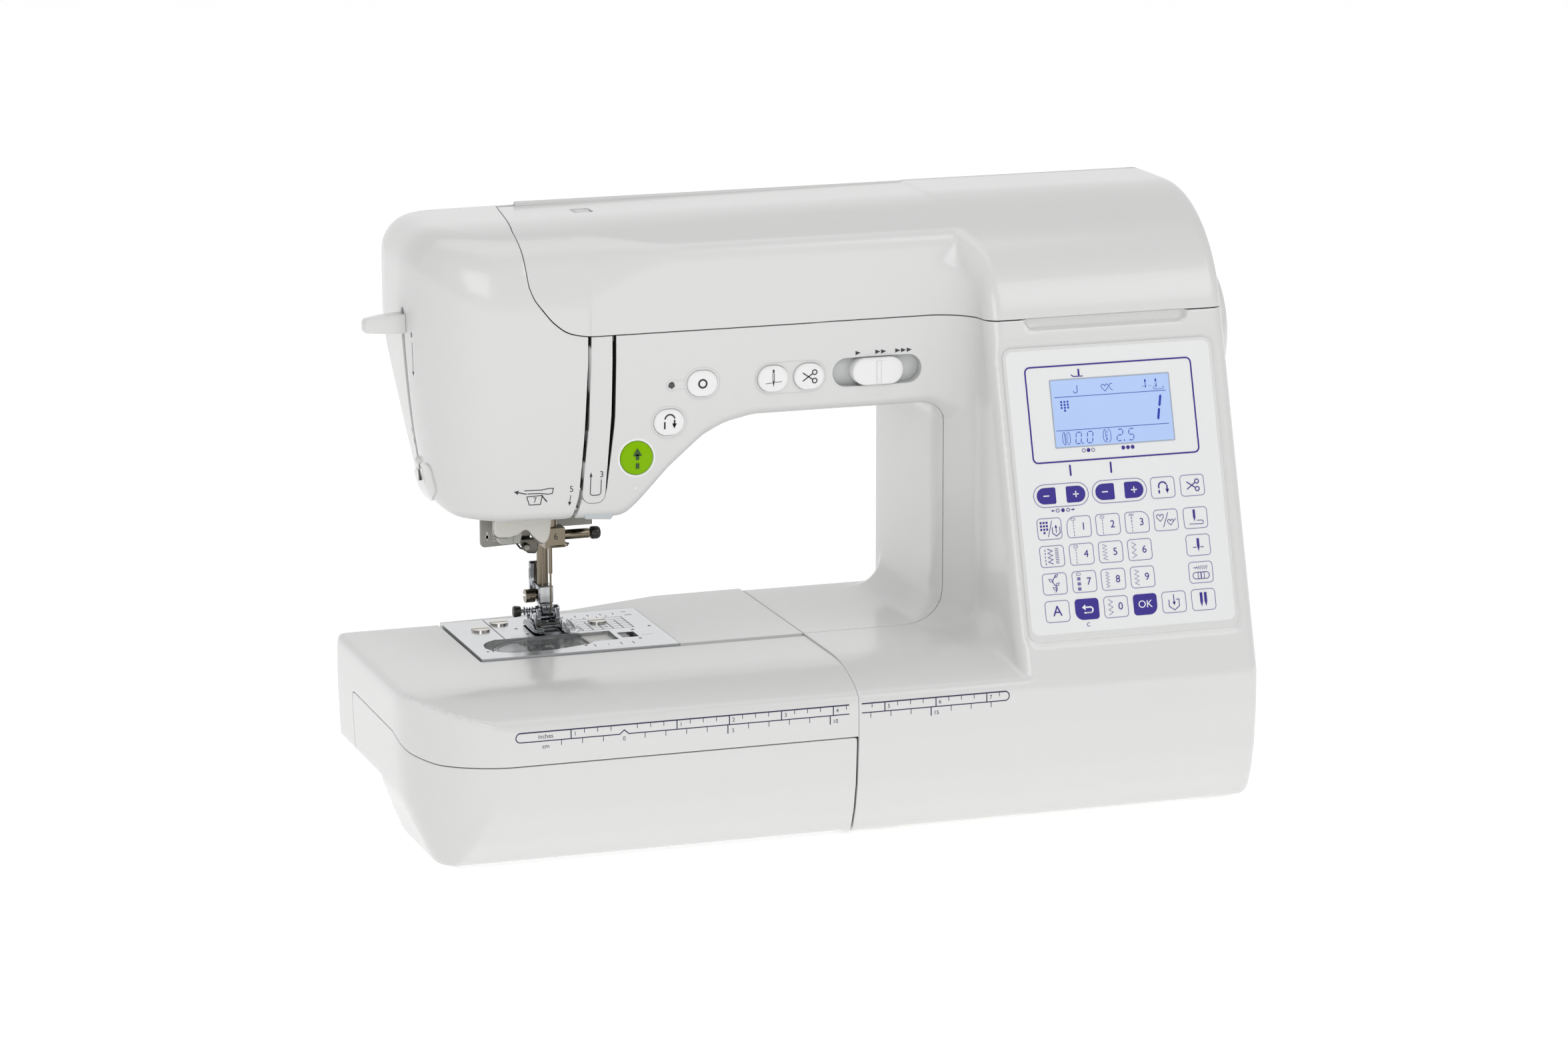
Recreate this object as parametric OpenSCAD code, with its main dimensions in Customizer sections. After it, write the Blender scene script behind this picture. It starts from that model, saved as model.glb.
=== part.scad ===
// Free-arm domestic sewing machine with a slide-off flat-bed table.
// Laid out in millimetres from the needle: +X right, +Y to the back, +Z up,
// then moved so that the origin is the middle of the footprint on the table.

/* [Overall] */
// Needle to the right-hand side of the column
body_right = 317; // [314:1:322]
// Depth from the bed's front face to the back
body_depth = 178; // [176:1:182]
// Height of the sewing bed
bed_z = 81.5; // [81:0.5:82]
// Height of the arm's underside
arm_under_z = 190; // [188:1:192]
// Height of the seam under the top lid
lid_seam_z = 233; // [232:1:234]
// Wall thickness of the covers
wall = 3; // [2.6:0.1:3.2]

/* [Drive] */
// Height of the upper shaft and handwheel
shaft_z = 211; // [210:1:212]
// Height of the lower shaft
lower_z = 42; // [41.5:0.1:42.5]
// Radius of the handwheel
wheel_r = 35; // [32:1:38]
// Radius of the upper shaft
shaft_r = 5; // [4:0.5:5.5]

/* [Sewing head] */
// Distance of the needle behind the bed's front face
needle_y = 122; // [121.5:0.1:122.5]
// Radius of the needle bar
needle_bar_r = 3.2; // [3:0.1:3.3]
// Radius of the presser bar
presser_bar_r = 2.8; // [2.7:0.1:3]
// Height of the head's underside
head_under_z = 150; // [149:1:151]

/* [Flat-bed table] */
// Left end of the table, measured from the needle
table_left = -99; // [-101:1:-98]
// Right end of the table, measured from the needle
table_right = 112.8; // [112:0.1:113]
// Right end of the storage door, measured from the needle
door_right = 112.2; // [111.8:0.1:112.3]
// Plan radius of the table's front corner
table_corner_r = 50; // [48:1:52]
// Height of the storage door's top edge
door_top_z = 50.4; // [48:0.1:52]

/* [Hidden] */
$fn = 48;

centre_x = 117;
centre_y = 90;
seam = 0.3;
running = 0.05;
cover_white = [0.93, 0.93, 0.91];
cover_grey = [0.85, 0.85, 0.84];
steel = [0.75, 0.75, 0.76];
cast_metal = [0.62, 0.63, 0.65];
dark = [0.12, 0.12, 0.13];

part_y = 79;
lid_left = -29;
lid_rear_y = 150;
lid_axis_z = 284.2;
lid_barrel_r = 1.8;
slope_foot = [-0.5, 66];
slope_head = [50.7, 233.3];
tilt = atan2(slope_head[0] - slope_foot[0], slope_head[1] - slope_foot[1]);
arm_y = 75;
head_y = 74;
column_x = 180;
bed_left = table_right + 0.5;
free_left = -46;
hook_y = needle_y - 18;
plate_holes = [[-31.5, 134.6], [26.3, 133], [-19.6, 144.7]];
presser_y = needle_y + 14;
motor_yz = [100, 120];
upper_yz = [needle_y, shaft_z];
lower_yz = [needle_y, lower_z];
foot_pin = [130, 90.5];
holder_screw_z = 96.3;
slot_x = [3.6, 6.4, 17.6, 19.4];
hinge_ears = [40, 270];
guard_outline = [[-33, head_under_z + 3], [-34, 137], [-31, 135], [-25, 136.5], [-19.4, 138.8],
  [-13.8, 133], [-10.8, 131.2], [-8.2, 133], [-6.6, 141], [-6, head_under_z + 3]];
door_axis = [109.8, 1.2];
switch_axis = [313, 57];

// ---- outlines -------------------------------------------------------------
function arc(c, r, a0, a1, n = 8) =
  [for (i = [0:n]) let (a = a0 + (a1 - a0) * i / n) [c[0] + r * cos(a), c[1] + r * sin(a)]];
function along(a, b) = (b - a) / norm(b - a);
// Polygon p, listed anticlockwise, with every edge moved inwards by t
function inset(p, t) = let (n = len(p)) [for (i = [0:n - 1])
  let (u = along(p[(i + n - 1) % n], p[i]), v = along(p[i], p[(i + 1) % n]),
       nu = [-u[1], u[0]], nv = [-v[1], v[0]])
  p[i] + (nu + nv) * t / (1 + nu * nv)];

rear_top = arc([body_depth - 28, 258], 28, 0, 90);
crown_c = [117, 218];
crown_r = 68;
function crown_to(y) = arc(crown_c, crown_r, 90, 180 - acos((crown_c[0] - y) / crown_r), 10);
bed_front = concat(arc([40, bed_z - 80], 80, 90, 116, 5), arc([8.5, 66], 9, 150, 180, 2));
skirt = [[-0.8, 48], [1, 27], [4, 14]];
bed_section = concat([[9, 2], [body_depth, 2]], arc([body_depth - 6, bed_z - 6], 6, 0, 90, 3),
  bed_front, skirt);
column_section = concat([[9, 2], [body_depth, 2]], rear_top, crown_to(slope_head[0]),
  [slope_foot], skirt);
arm_section = concat([[arm_y, 140], [body_depth, 140]], rear_top, crown_to(arm_y));
head_section = concat([[head_y, 140], [body_depth, 140]], rear_top, crown_to(head_y));
upper_outline = concat([[24, head_under_z], [46, 168], [62, 182], [84, arm_under_z],
  [body_right + 10, arm_under_z], [body_right + 10, 290], [-50, 284.5]],
  arc([-56, 264], 20, 100, 180, 5), [[-76, 235], [-70, 190]],
  arc([-50, 166], 16, 195, 270, 5));
head_plan = concat(arc([-31, head_y + 45], 45, 180, 270), [[10, head_y], [10, body_depth]],
  arc([-36, body_depth - 40], 40, 90, 180));
column_plan = concat([[195, -10], [body_right, -10]],
  arc([body_right - 20, body_depth - 20], 20, 0, 90, 6),
  [[column_x + 3, body_depth], [column_x, 84], [195, 62]]);
table_plan = concat(
  arc([table_left + table_corner_r, table_corner_r - 1], table_corner_r, 180, 270, 10),
  [[table_right, -1], [table_right, part_y - 0.3], [free_left - 0.6, part_y - 0.3],
   [free_left - 0.6, 158]], arc([table_left + 8, 150], 8, 90, 180, 3));
table_section = concat([[9, 2], [75, 2], [75, 30], [158, 30], [158, bed_z - 3.5],
  [154.5, bed_z]], bed_front, skirt);
table_outline = [[-86, 2], [table_right + 9, 2], [table_right + 9, bed_z],
  [table_left + 4, bed_z], [table_left + 1, bed_z - 2], [table_left, bed_z - 6],
  [table_left, 59], [table_left + 2, 30], [table_left + 7, 16]];
lid_edge = [[lid_left, 287], [-24, 264], [-17, 247], [-8, 238.5], [2, 234.5]];
free_plan = [[free_left, part_y + 0.3], [table_right, part_y + 0.3],
  [table_right, 176], [68, 175], [20, 160], [free_left, 156]];

// ---- building blocks ------------------------------------------------------
module placed() { translate([-centre_x, -centre_y, 0]) children(); }
module span_x(x0, x1) { translate([x0, 0, 0]) rotate([90, 0, 90]) linear_extrude(x1 - x0) children(); }
module span_y(y0, y1) { translate([0, y1, 0]) rotate([90, 0, 0]) linear_extrude(y1 - y0) children(); }
module span_z(z0, z1) { translate([0, 0, z0]) linear_extrude(z1 - z0) children(); }
module block(p, q) { translate(p) cube(q - p); }
module rod_x(x0, x1, c, r) { translate([x0, c[0], c[1]]) rotate([0, 90, 0]) cylinder(h = x1 - x0, r = r); }
module rod_y(y0, y1, c, r) { translate([c[0], y0, c[1]]) rotate([-90, 0, 0]) cylinder(h = y1 - y0, r = r); }
module rod_z(z0, z1, c, r) { translate([c[0], c[1], z0]) cylinder(h = z1 - z0, r = r); }
module stadium(w, h) {
  square([w - h, h], center = true);
  for (s = [-1, 1]) translate([s * (w - h) / 2, 0]) circle(d = h);
}
// Sketch plane on the sloping column front: x along the machine, z up the slope, y into it
module on_slope() { translate([0, slope_foot[0], slope_foot[1]]) rotate([-tilt, 0, 0]) children(); }
module toothed(r, teeth, depth) {
  difference() {
    circle(r);
    for (i = [0:teeth - 1]) rotate(360 * i / teeth) translate([r, 0]) circle(depth, $fn = 4);
  }
}
// Outline of the bobbin cover, smaller than its opening in the plate by g
function cover_outline(g) = inset(concat([[26.6, 114], [-27, 114]], arc([-24.5, 101], 14.5, 115, 255, 6),
  [[-8, 87], [10.3, 92.3], [14.4, 96.6], [26, 96.7]]), g);
// Outline of a belt round two wheels, each a centre and a radius
function belt_path(a, ra, b, rb) = let (d = norm(b - a), t = atan2(b[1] - a[1], b[0] - a[0]),
  s = acos((ra - rb) / d)) concat(arc(a, ra, t + s, t + 360 - s, 20), arc(b, rb, t - s, t + s, 12));
module belt(x0, x1, a, ra, b, rb, thick) {
  span_x(x0, x1) difference() {
    polygon(belt_path(a, ra + thick, b, rb + thick));
    polygon(belt_path(a, ra, b, rb));
  }
}

// ---- covers ---------------------------------------------------------------
module upper_volume(t) {
  intersection() {
    union() {
      intersection() {
        span_x(-80, 8 + t) polygon(inset(head_section, t));
        span_z(100, 300) polygon(inset(head_plan, t));
      }
      span_x(7, 190 + t) polygon(inset(arm_section, t));
    }
    span_y(0, 200) polygon(inset(upper_outline, t));
  }
}
module body_volume(t) {
  upper_volume(t);
  intersection() {
    span_x(150, 350) polygon(inset(column_section, t));
    span_z(-5, 300) polygon(inset(column_plan, t));
  }
  span_x(bed_left + t, 198 + t) polygon(inset(bed_section, t));
}
module body_shell() {
  difference() {
    body_volume(0);
    body_volume(wall);
  }
}
// Room under the head for the needle bar, the presser bar and the threader
module head_mouth() { block([-34, 98, head_under_z - 2], [28, 150, head_under_z + 5]); }
module lifter_slot() { block([9, 149, head_under_z - 2], [18, 190, 188]); }
module shaft_window() { rod_x(body_right - 9, body_right + 9, upper_yz, 9); }
module below_lid() { block([-100, -20, -1], [400, 300, lid_seam_z]); }

module button_holes() {
  rod_y(70, 90, [29, 174], 8.2);
  for (p = [[45, 190], [61.5, 207.5], [96.5, 207.5], [114.5, 207.5]])
    translate([p[0], 0, p[1]]) span_y(70, 90) stadium(15.4, 12.9);
  rod_y(70, 90, [46.5, 207.5], 1.8);
  translate([149, 0, 208]) span_y(70, 90) stadium(45, 14);
}
module front_cover() {
  placed() color(cover_white) difference() {
    intersection() {
      body_shell();
      below_lid();
      block([slot_x[3], -10, -1], [400, part_y - seam, 300]);
    }
    button_holes();
    on_slope() block([202, -5, 24], [307, 1, 160]);
    on_slope() block([222, -5, 111], [286, 9, 145.5]);
    block([body_right - 5, 59.4, 48.8], [body_right + 5, 78.5, 65.2]);
    rod_y(58.4, 79, switch_axis, 1.5 + running);
    shaft_window();
    block([bed_left - 1, 12, -1], [body_right - 4, 200, 5.3]);
  }
}
module handle_well(grow) {
  span_x(38 - grow, 192 + grow)
    polygon([[155.6 - grow, 295], [155.6 - grow, 268 - grow], [163 - grow, 234 - grow],
      [190, 234 - grow], [190, 295]]);
}
module rear_cover() {
  placed() color(cover_white) difference() {
    union() {
      intersection() {
        body_shell();
        union() {
          block([slot_x[3], part_y, -1], [400, 300, lid_seam_z]);
          block([-100, 140, 100], [20, 300, lid_seam_z]);
          block([-100, lid_rear_y + 2.1, 100], [400, 300, 300]);
        }
      }
      intersection() {
        body_volume(0);
        handle_well(2.5);
      }
      for (x = hinge_ears) {
        block([x, 149, lid_axis_z - 1.6], [x + 6, 155, lid_axis_z + 1.6]);
        rod_x(x - 6, x + 12, [lid_rear_y, lid_axis_z], 0.8);
      }
    }
    handle_well(0);
    for (x = [34, 192]) rod_x(x - 1, x + 5, [164, 272], 2 + running);
    head_mouth();
    lifter_slot();
    shaft_window();
    block([bed_left - 1, 84, 29], [bed_left + 5, 172, 78]);
    block([bed_left - 1, 0, -1], [body_right - 4, body_depth - 4, 5.3]);
    block([142, 170, 58], [164, 190, 68]);
    block([body_right - 15, 99.7, 21.7], [body_right + 5, 126.3, 44.3]);
    block([bed_left - 1, part_y - 1, -1], [bed_left + 10, part_y + 2, 25]);
  }
}
// Front view of the lid, drawn back from its curved left edge by g
module lid_zone(g) {
  polygon(concat([[lid_left + g, 300]], [for (p = lid_edge) p + [g, g * 0.6]],
    [[3 + g, lid_seam_z + g], [400, lid_seam_z + g], [400, 300]]));
}
module face_cover() {
  placed() color(cover_white) {
    difference() {
      intersection() {
        body_shell();
        union() {
          difference() {
            block([-100, 0, 100], [slot_x[0], 139.7, 300]);
            span_y(-1, 140) lid_zone(0);
          }
          block([-100, 139.6, lid_seam_z + seam], [lid_left - seam, lid_rear_y + 1.8, 300]);
        }
      }
      head_mouth();
      block([-90, 111, 158], [-55, 119, 246]);
    }
    span_y(95, 98.4) polygon(guard_outline);
  }
}
module lid() {
  placed() color(cover_white) difference() {
    union() {
      intersection() {
        body_shell();
        span_y(0, lid_rear_y) lid_zone(seam);
      }
      rod_x(lid_left + 1, body_right - 1, [lid_rear_y, lid_axis_z], lid_barrel_r);
    }
    block([12.5, 109, 278], [23.5, 141, 295]);
    for (x = hinge_ears) {
      block([x - 0.4, 146.5, 280], [x + 6.4, 155, 290]);
      rod_x(x - 7, x + 13, [lid_rear_y, lid_axis_z], 0.8 + running);
    }
  }
}
module top_tray() {
  placed() color(cover_grey) difference() {
    union() {
      block([7, part_y + 0.6, 229.5], [312, 145.5, 232.5]);
      block([8, 119, 232], [12, 131, 279]);
      rod_x(10, 23, [125, 274.5], 2);
      block([120, 108, 232], [127, 128, 266]);
      rod_z(226, 234, [290, 105], 7);
    }
    rod_z(220, 240, [290, 105], 3 + running);
    rod_x(119, 128, [118, 256], 3);
    block([slot_x[0], 0, 220], [slot_x[3], 96, 236]);
  }
}
module base_plate() {
  placed() color(cover_grey) {
    block([bed_left + 0.3, 12.6, 2], [body_right - 4.6, body_depth - 4.6, 5]);
    block([40, 84, 2], [bed_left + 0.4, body_depth - 4.6, 5]);
  }
}
module feet() {
  placed() color(dark)
    for (p = [[132, 28], [302, 28], [302, 158], [56, 158]]) rod_z(0, 2, p, 8);
}
module free_arm_cover() {
  placed() color(cover_white) difference() {
    span_z(26, bed_z) polygon(free_plan);
    difference() {
      span_z(28.5, bed_z - 2.5) polygon(inset(free_plan, 2.5));
      block([table_right - 1, 0, 0], [table_right + 9, 20, 100]);
    }
    block([table_right - 4, 84, 29], [table_right + 9, 172, 78]);
    block([free_left + 2.5, part_y + 2.8, 60], [50.6, 153, bed_z + 1]);
    block([free_left - 1, part_y, bed_z - 2.1], [51.4, 154.8, bed_z + 1]);
  }
}
module carry_handle() {
  placed() color(cover_grey) {
    for (x = [39, 183]) span_x(x, x + 8) {
      translate([164, 272]) circle(5);
      translate([172, 245]) circle(5);
      polygon([[159.2, 270.6], [167.2, 243.6], [176.8, 246.4], [168.8, 273.4]]);
    }
    rod_x(40, 190, [172, 245], 5.5);
    rod_x(34.5, 39.5, [164, 272], 2);
    rod_x(190.5, 195.5, [164, 272], 2);
  }
}

// ---- flat-bed table -------------------------------------------------------
module table_volume(t) {
  intersection() {
    span_x(-110, 130) polygon(inset(table_section, t));
    span_z(-5, 100) polygon(inset(table_plan, t));
    span_y(-10, 170) polygon(inset(table_outline, t));
  }
}
module table_skin() {
  difference() {
    table_volume(0);
    table_volume(wall);
  }
}
// Space of the storage door, widened by g
module door_zone(g) {
  block([-110, -10, -5], [door_right + g, 16 + g, door_top_z + g]);
  block([-110, -10, -5], [-79 + g, 60, door_top_z + g]);
  span_x(-110, -60 + g) polygon([[-10, 0], [16 + g, 0], [16 + g, 53 + g], [-10, door_top_z + g]]);
  span_x(-110, -79 + g) polygon([[10, -5], [123 + g, -5], [123 + g, 61 + g], [46, 60 + g],
    [10, 52 + g]]);
}
module table_shell() {
  placed() color(cover_white) {
    difference() {
      table_skin();
      door_zone(seam);
      block([110, -10, -5], [table_right + 1, 50, door_top_z + seam]);
    }
    rod_z(door_top_z - 6, door_top_z + 2, door_axis, 0.9);
  }
}
module table_door() {
  placed() color(cover_white) difference() {
    union() {
      intersection() {
        table_skin();
        door_zone(0);
      }
      block([table_left - 1.5, 58, 57.5], [table_left + 2.5, 88, 60]);
    }
    rod_z(door_top_z - 7, door_top_z + 2, door_axis, 0.9 + running);
  }
}

// ---- control panel --------------------------------------------------------
module panel_sheet() {
  placed() color([0.97, 0.97, 0.97]) on_slope() block([202.2, 0.05, 24.2], [306.8, 0.9, 159.8]);
}
module lcd_module() {
  placed() color([0.55, 0.7, 0.9]) on_slope() {
    block([222.3, 1.05, 111.3], [285.7, 4, 145.2]);
    block([218, 3.4, 107], [290, 9, 150]);
  }
}
module main_board() {
  placed() color([0.1, 0.35, 0.2]) on_slope() {
    block([200, 14, 22], [310, 15.6, 156]);
    for (p = [[215, 40], [250, 60], [280, 100], [225, 120]]) block([p[0], 15.5, p[1]], [p[0] + 16, 18, p[1] + 16]);
  }
}

// ---- castings and drive ---------------------------------------------------
module arm_casting() {
  placed() color(cast_metal) difference() {
    union() {
      block([20, 140, 198], [308, 152, 224]);
      for (x = [30, 235, 299]) block([x, 112, 202], [x + 8, 141, 220]);
      block([-20, 146, 158], [26, 152, 250]);
      for (z = [160, 240]) block([-8, 114, z], [8, 147, z + 8]);
      block([196, 128, lower_z - 9.8], [214, 152, 199]);
      block([6.3, 108, 190], [8.4, 147, 200]);
      rod_x(3.8, 7, [115, 196], 1.9);
      block([6, 151, 166], [9.4, 164, 178]);
      rod_x(9, 15.4, [160, 172], 2);
    }
    rod_x(29, 309, upper_yz, shaft_r + running);
    rod_z(150, 260, [0, needle_y], needle_bar_r + running);
    rod_z(150, 260, [0, presser_y], presser_bar_r + running);
  }
}
module bed_casting() {
  placed() color(cast_metal) difference() {
    union() {
      block([-38, 90, 29.5], [302, 152, 32]);
      for (x = [-24, 96, 236]) block([x, 114, 31], [x + 10, 130, 53]);
      rod_z(29.5, 36, [0, hook_y], 7);
      block([-30, 98, 31], [-24, 110, 66.6]);
      block([-14, 150.3, 31], [14, 152, 57.7]);
    }
    rod_x(-30, 260, lower_yz, 3.5 + running);
    rod_z(29, 40, [0, hook_y], 3 + running);
    block([-6, 109.6, 29], [6, 138, 33]);
    block([255, 100, 28], [273, 145, 40]);
  }
}
module arm_shaft() {
  placed() color(steel) {
    rod_x(14, body_right + 14, upper_yz, shaft_r);
    rod_x(14, 20, upper_yz, 17);
    rod_x(10, 15, [needle_y, shaft_z + 13], 2.5);
  }
}
module handwheel() {
  placed() color(cover_white) difference() {
    translate([body_right + 0.8, needle_y, shaft_z]) rotate([0, 90, 0]) rotate_extrude($fn = 72)
      polygon(concat([[shaft_r + running, 0], [wheel_r - 1.5, 0], [wheel_r, 1.5]],
        arc([wheel_r - 4, 14], 4, 0, 90, 4), [[20, 18], [17, 15], [shaft_r + running, 15]]));
    for (i = [0:23]) translate([0, needle_y, shaft_z]) rotate([i * 15, 0, 0])
      rod_x(body_right + 4, body_right + 13, [wheel_r + 0.6, 0], 1.2);
  }
}
module upper_pulley() {
  placed() color(dark) difference() {
    union() {
      span_x(258, 270) translate(upper_yz) toothed(13.6, 28, 0.8);
      rod_x(270, 296, upper_yz, 12);
      rod_x(281, 293, upper_yz, 16);
    }
    rod_x(250, 300, upper_yz, shaft_r + running);
  }
}
module timing_belt() { placed() color(dark) belt(259, 269, lower_yz, 14, upper_yz, 14, 1.4); }
module motor() {
  placed() color(steel) {
    difference() {
      union() {
        rod_x(206, 248, motor_yz, 21);
        block([206, 100, 97], [209, 128, 140]);
      }
      rod_x(220, 250, motor_yz, 3 + running);
    }
  }
}
module motor_rotor() {
  placed() color(steel) {
    rod_x(221, 296, motor_yz, 3);
    rod_x(281, 293, motor_yz, 4);
  }
}
module motor_belt() { placed() color(dark) belt(282, 292, upper_yz, 16.4, motor_yz, 4.4, 1.2); }
module lower_shaft() { placed() color(steel) rod_x(-24, 272, lower_yz, 3.5); }
module lower_pulley() {
  placed() color(dark) difference() {
    span_x(258, 270) translate(lower_yz) toothed(13.6, 28, 0.8);
    rod_x(250, 280, lower_yz, 3.5 + running);
  }
}
module lower_gear() {
  placed() color(steel) difference() {
    span_x(-4, 4) translate(lower_yz) toothed(7.7, 24, 0.6);
    rod_x(-9, 9, lower_yz, 3.5 + running);
  }
}

// ---- hook and bobbin ------------------------------------------------------
module hook() {
  placed() color(steel) {
    difference() {
      union() {
        rod_z(50, 66, [0, hook_y], 17);
        rod_z(45, 51, [0, hook_y], 6);
      }
      rod_z(52, 67, [0, hook_y], 15.9);
    }
    rod_z(30, 47, [0, hook_y], 3);
    translate([0, hook_y, 37.5]) linear_extrude(8.5) toothed(10.1, 12, 1);
  }
}
module bobbin_case() {
  placed() color(dark) {
    difference() {
      union() {
        rod_z(53, 70, [0, hook_y], 15.5);
        rod_z(66.6, 70, [0, hook_y], 16.8);
        block([-30, hook_y - 3, 66.9], [-15, hook_y + 3, 70]);
      }
      rod_z(55, 71, [0, hook_y], 11);
    }
    rod_z(54, 66, [0, hook_y], 2.95);
  }
}
module bobbin() {
  placed() color([0.8, 0.85, 0.9]) translate([0, hook_y, 55.4]) rotate_extrude()
    polygon([[3, 0], [10.2, 0], [10.2, 1], [4.5, 1], [4.5, 10.5], [10.2, 10.5], [10.2, 11.5], [3, 11.5]]);
}
module needle_plate() {
  placed() color(steel) difference() {
    block([free_left, part_y + 0.5, bed_z - 2], [51.2, 154.5, bed_z]);
    span_z(70, 90) polygon(cover_outline(0));
    for (s = [-1, 1]) translate([s * 7.2, 126, 0]) block([-2.6, -11, 70], [2.6, 11.5, 90]);
    translate([0, needle_y, 0]) block([-4, -1.4, 70], [4, 1.4, 90]);
    for (p = plate_holes) rod_z(70, 90, p, 2.1);
    block([28.8, 99, 70], [37, 108.8, 90]);
  }
}
module plate_screws() {
  placed() color(steel) for (p = plate_holes) {
    rod_z(72, bed_z + 0.2, p, 2);
    difference() {
      rod_z(bed_z, bed_z + 0.9, p, 4.6);
      translate([p[0], p[1], 0]) block([-5, -0.5, bed_z + 0.4], [5, 0.5, bed_z + 2]);
    }
  }
}
module bobbin_cover() {
  placed() color([0.8, 0.85, 0.85, 0.5]) span_z(bed_z - 2, bed_z) polygon(cover_outline(0.3));
}
module cover_latch() {
  placed() color(dark) {
    block([29.1, 99.3, bed_z - 2], [32.8, 108.5, bed_z - 0.3]);
    block([28, 100, bed_z - 4], [36, 108, bed_z - 2.3]);
    block([29.6, 101, bed_z - 2.5], [32.3, 107, bed_z - 1]);
  }
}
module feed_dog() {
  placed() color(steel) {
    for (s = [-1, 1]) span_x(s * 7.2 - 1.8, s * 7.2 + 1.8)
      polygon(concat([[118, 74.5], [134, 74.5], [134, 80.2]],
        [for (i = [0:15]) [134 - i, 80.2 + 0.8 * (i % 2)]], [[118, 80.2]]));
    block([-9, 130, 70], [9, 146, 75]);
  }
}
module feed_carriage() {
  placed() color(cast_metal) {
    block([-12, 138, 61], [12, 149.8, 69.6]);
    for (s = [-1, 1]) block([s * 11 - 1.6, 138, 69], [s * 11 + 1.6, 149.8, 74]);
  }
}
module drop_lever() {
  placed() color(cover_grey) {
    block([146, body_depth - 6, 60], [152, body_depth + 3, 66]);
    block([140, body_depth - 7.5, 56], [158, body_depth - 3.4, 70]);
  }
}

// ---- needle and presser ---------------------------------------------------
module needle_bar() {
  placed() color(steel) difference() {
    union() {
      rod_z(126, 276, [0, needle_y], needle_bar_r);
      block([-4, needle_y - 5, 123.5], [6, needle_y + 3.6, 133]);
      block([-6, needle_y - 6, 205], [3.2, needle_y + 6, 213]);
    }
    rod_z(120, 130, [0, needle_y], 1);
    rod_x(1, 8, [needle_y, 128.5], 1.8);
  }
}
module clamp_screw() {
  placed() color(steel) {
    rod_x(2, 6.5, [needle_y, 128.5], 1.75);
    rod_x(6.2, 20, [needle_y, 128.5], 2.3);
    span_x(19.8, 25) translate([needle_y, 128.5]) toothed(3.5, 12, 0.5);
  }
}
module needle() {
  placed() color(steel) {
    rod_z(110, 129, [0, needle_y], 0.95);
    translate([0, needle_y, 93]) cylinder(h = 17.5, r = 0.5);
    translate([0, needle_y, 90.5]) cylinder(h = 2.6, r1 = 0.08, r2 = 0.5);
  }
}
module presser_bar() { placed() color(steel) rod_z(95, 252, [0, presser_y], presser_bar_r); }
module foot_holder() {
  placed() color(steel) difference() {
    union() {
      block([-4.2, 130.2, 93.2], [3.8, 142.4, 102]);
      block([-3, 126.6, 87.2], [3, 139, 94]);
      block([-5.2, 139.6, 93.2], [0.6, 142.4, 112.3]);
    }
    rod_z(94.8, 120, [0, presser_y], presser_bar_r + 0.02);
    rod_x(-7, 7, foot_pin, 1.25);
    rod_x(-7, -2.5, [presser_y, holder_screw_z], 1.8);
  }
}
module foot_screw() {
  placed() color(steel) difference() {
    union() {
      rod_x(-5, -3.1, [presser_y, holder_screw_z], 1.75);
      rod_x(-9, -4.4, [presser_y, holder_screw_z], 3.3);
    }
    block([-10, presser_y - 5, holder_screw_z - 0.7], [-7.2, presser_y + 5, holder_screw_z + 0.7]);
  }
}
module presser_foot() {
  placed() color(steel) {
    difference() {
      union() {
        block([-10, 115, 82.1], [12.6, 138, 84.6]);
        for (s = [-1, 1]) block([s * 4.7 - 1.2, 126, 84], [s * 4.7 + 1.2, 134, 92]);
      }
      translate([0, needle_y, 0]) block([-4.2, -2.2, 80], [4.2, 2.2, 90]);
      block([-2.5, 110, 80], [2.5, 117.6, 90]);
    }
    rod_x(-4, 4, foot_pin, 1.2);
    rod_x(-13.2, -5, foot_pin, 1);
    rod_x(-16.7, -13, foot_pin, 2.8);
  }
}
module lifter_lever() {
  placed() color(cover_grey) {
    difference() {
      span_x(12, 15) {
        translate([160, 172]) circle(6);
        polygon([[155, 169], [165, 173], [157, 140], [150.5, 139]]);
      }
      rod_x(10, 17, [160, 172], 2 + running);
    }
    block([9, 150, 126], [29.3, 153.6, 143]);
  }
}
module take_up_lever() {
  placed() color(steel) difference() {
    span_x(4.2, 5.7) {
      translate([115, 196]) circle(4.5);
      polygon([[113.5, 192], [117.5, 199], [84, 223.5], [80, 218]]);
      translate([83, 221]) circle(3.5);
    }
    rod_x(3, 7, [115, 196], 1.9 + running);
    rod_x(3, 7, [83, 221], 1.4);
  }
}
module threader_lever() {
  placed() color(cover_white) {
    block([-91, 109, 236], [-78, 121, 241.5]);
    block([-80, 113, 236.5], [-60, 117, 241]);
    block([-62, 110, 232], [-57, 120, 246]);
  }
}
module threader_head() {
  placed() color(cover_grey) {
    block([-33, 126, 124], [-12, 129, 149]);
    block([-32, 106, 134], [-20, 127, 149]);
    block([-30, 105, 129.4], [-19, 112, 135]);
    block([-15.5, 118, 121], [-6.6, 127, 128.5]);
    block([-24, 116, 148], [-18, 122, 195]);
  }
}

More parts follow.
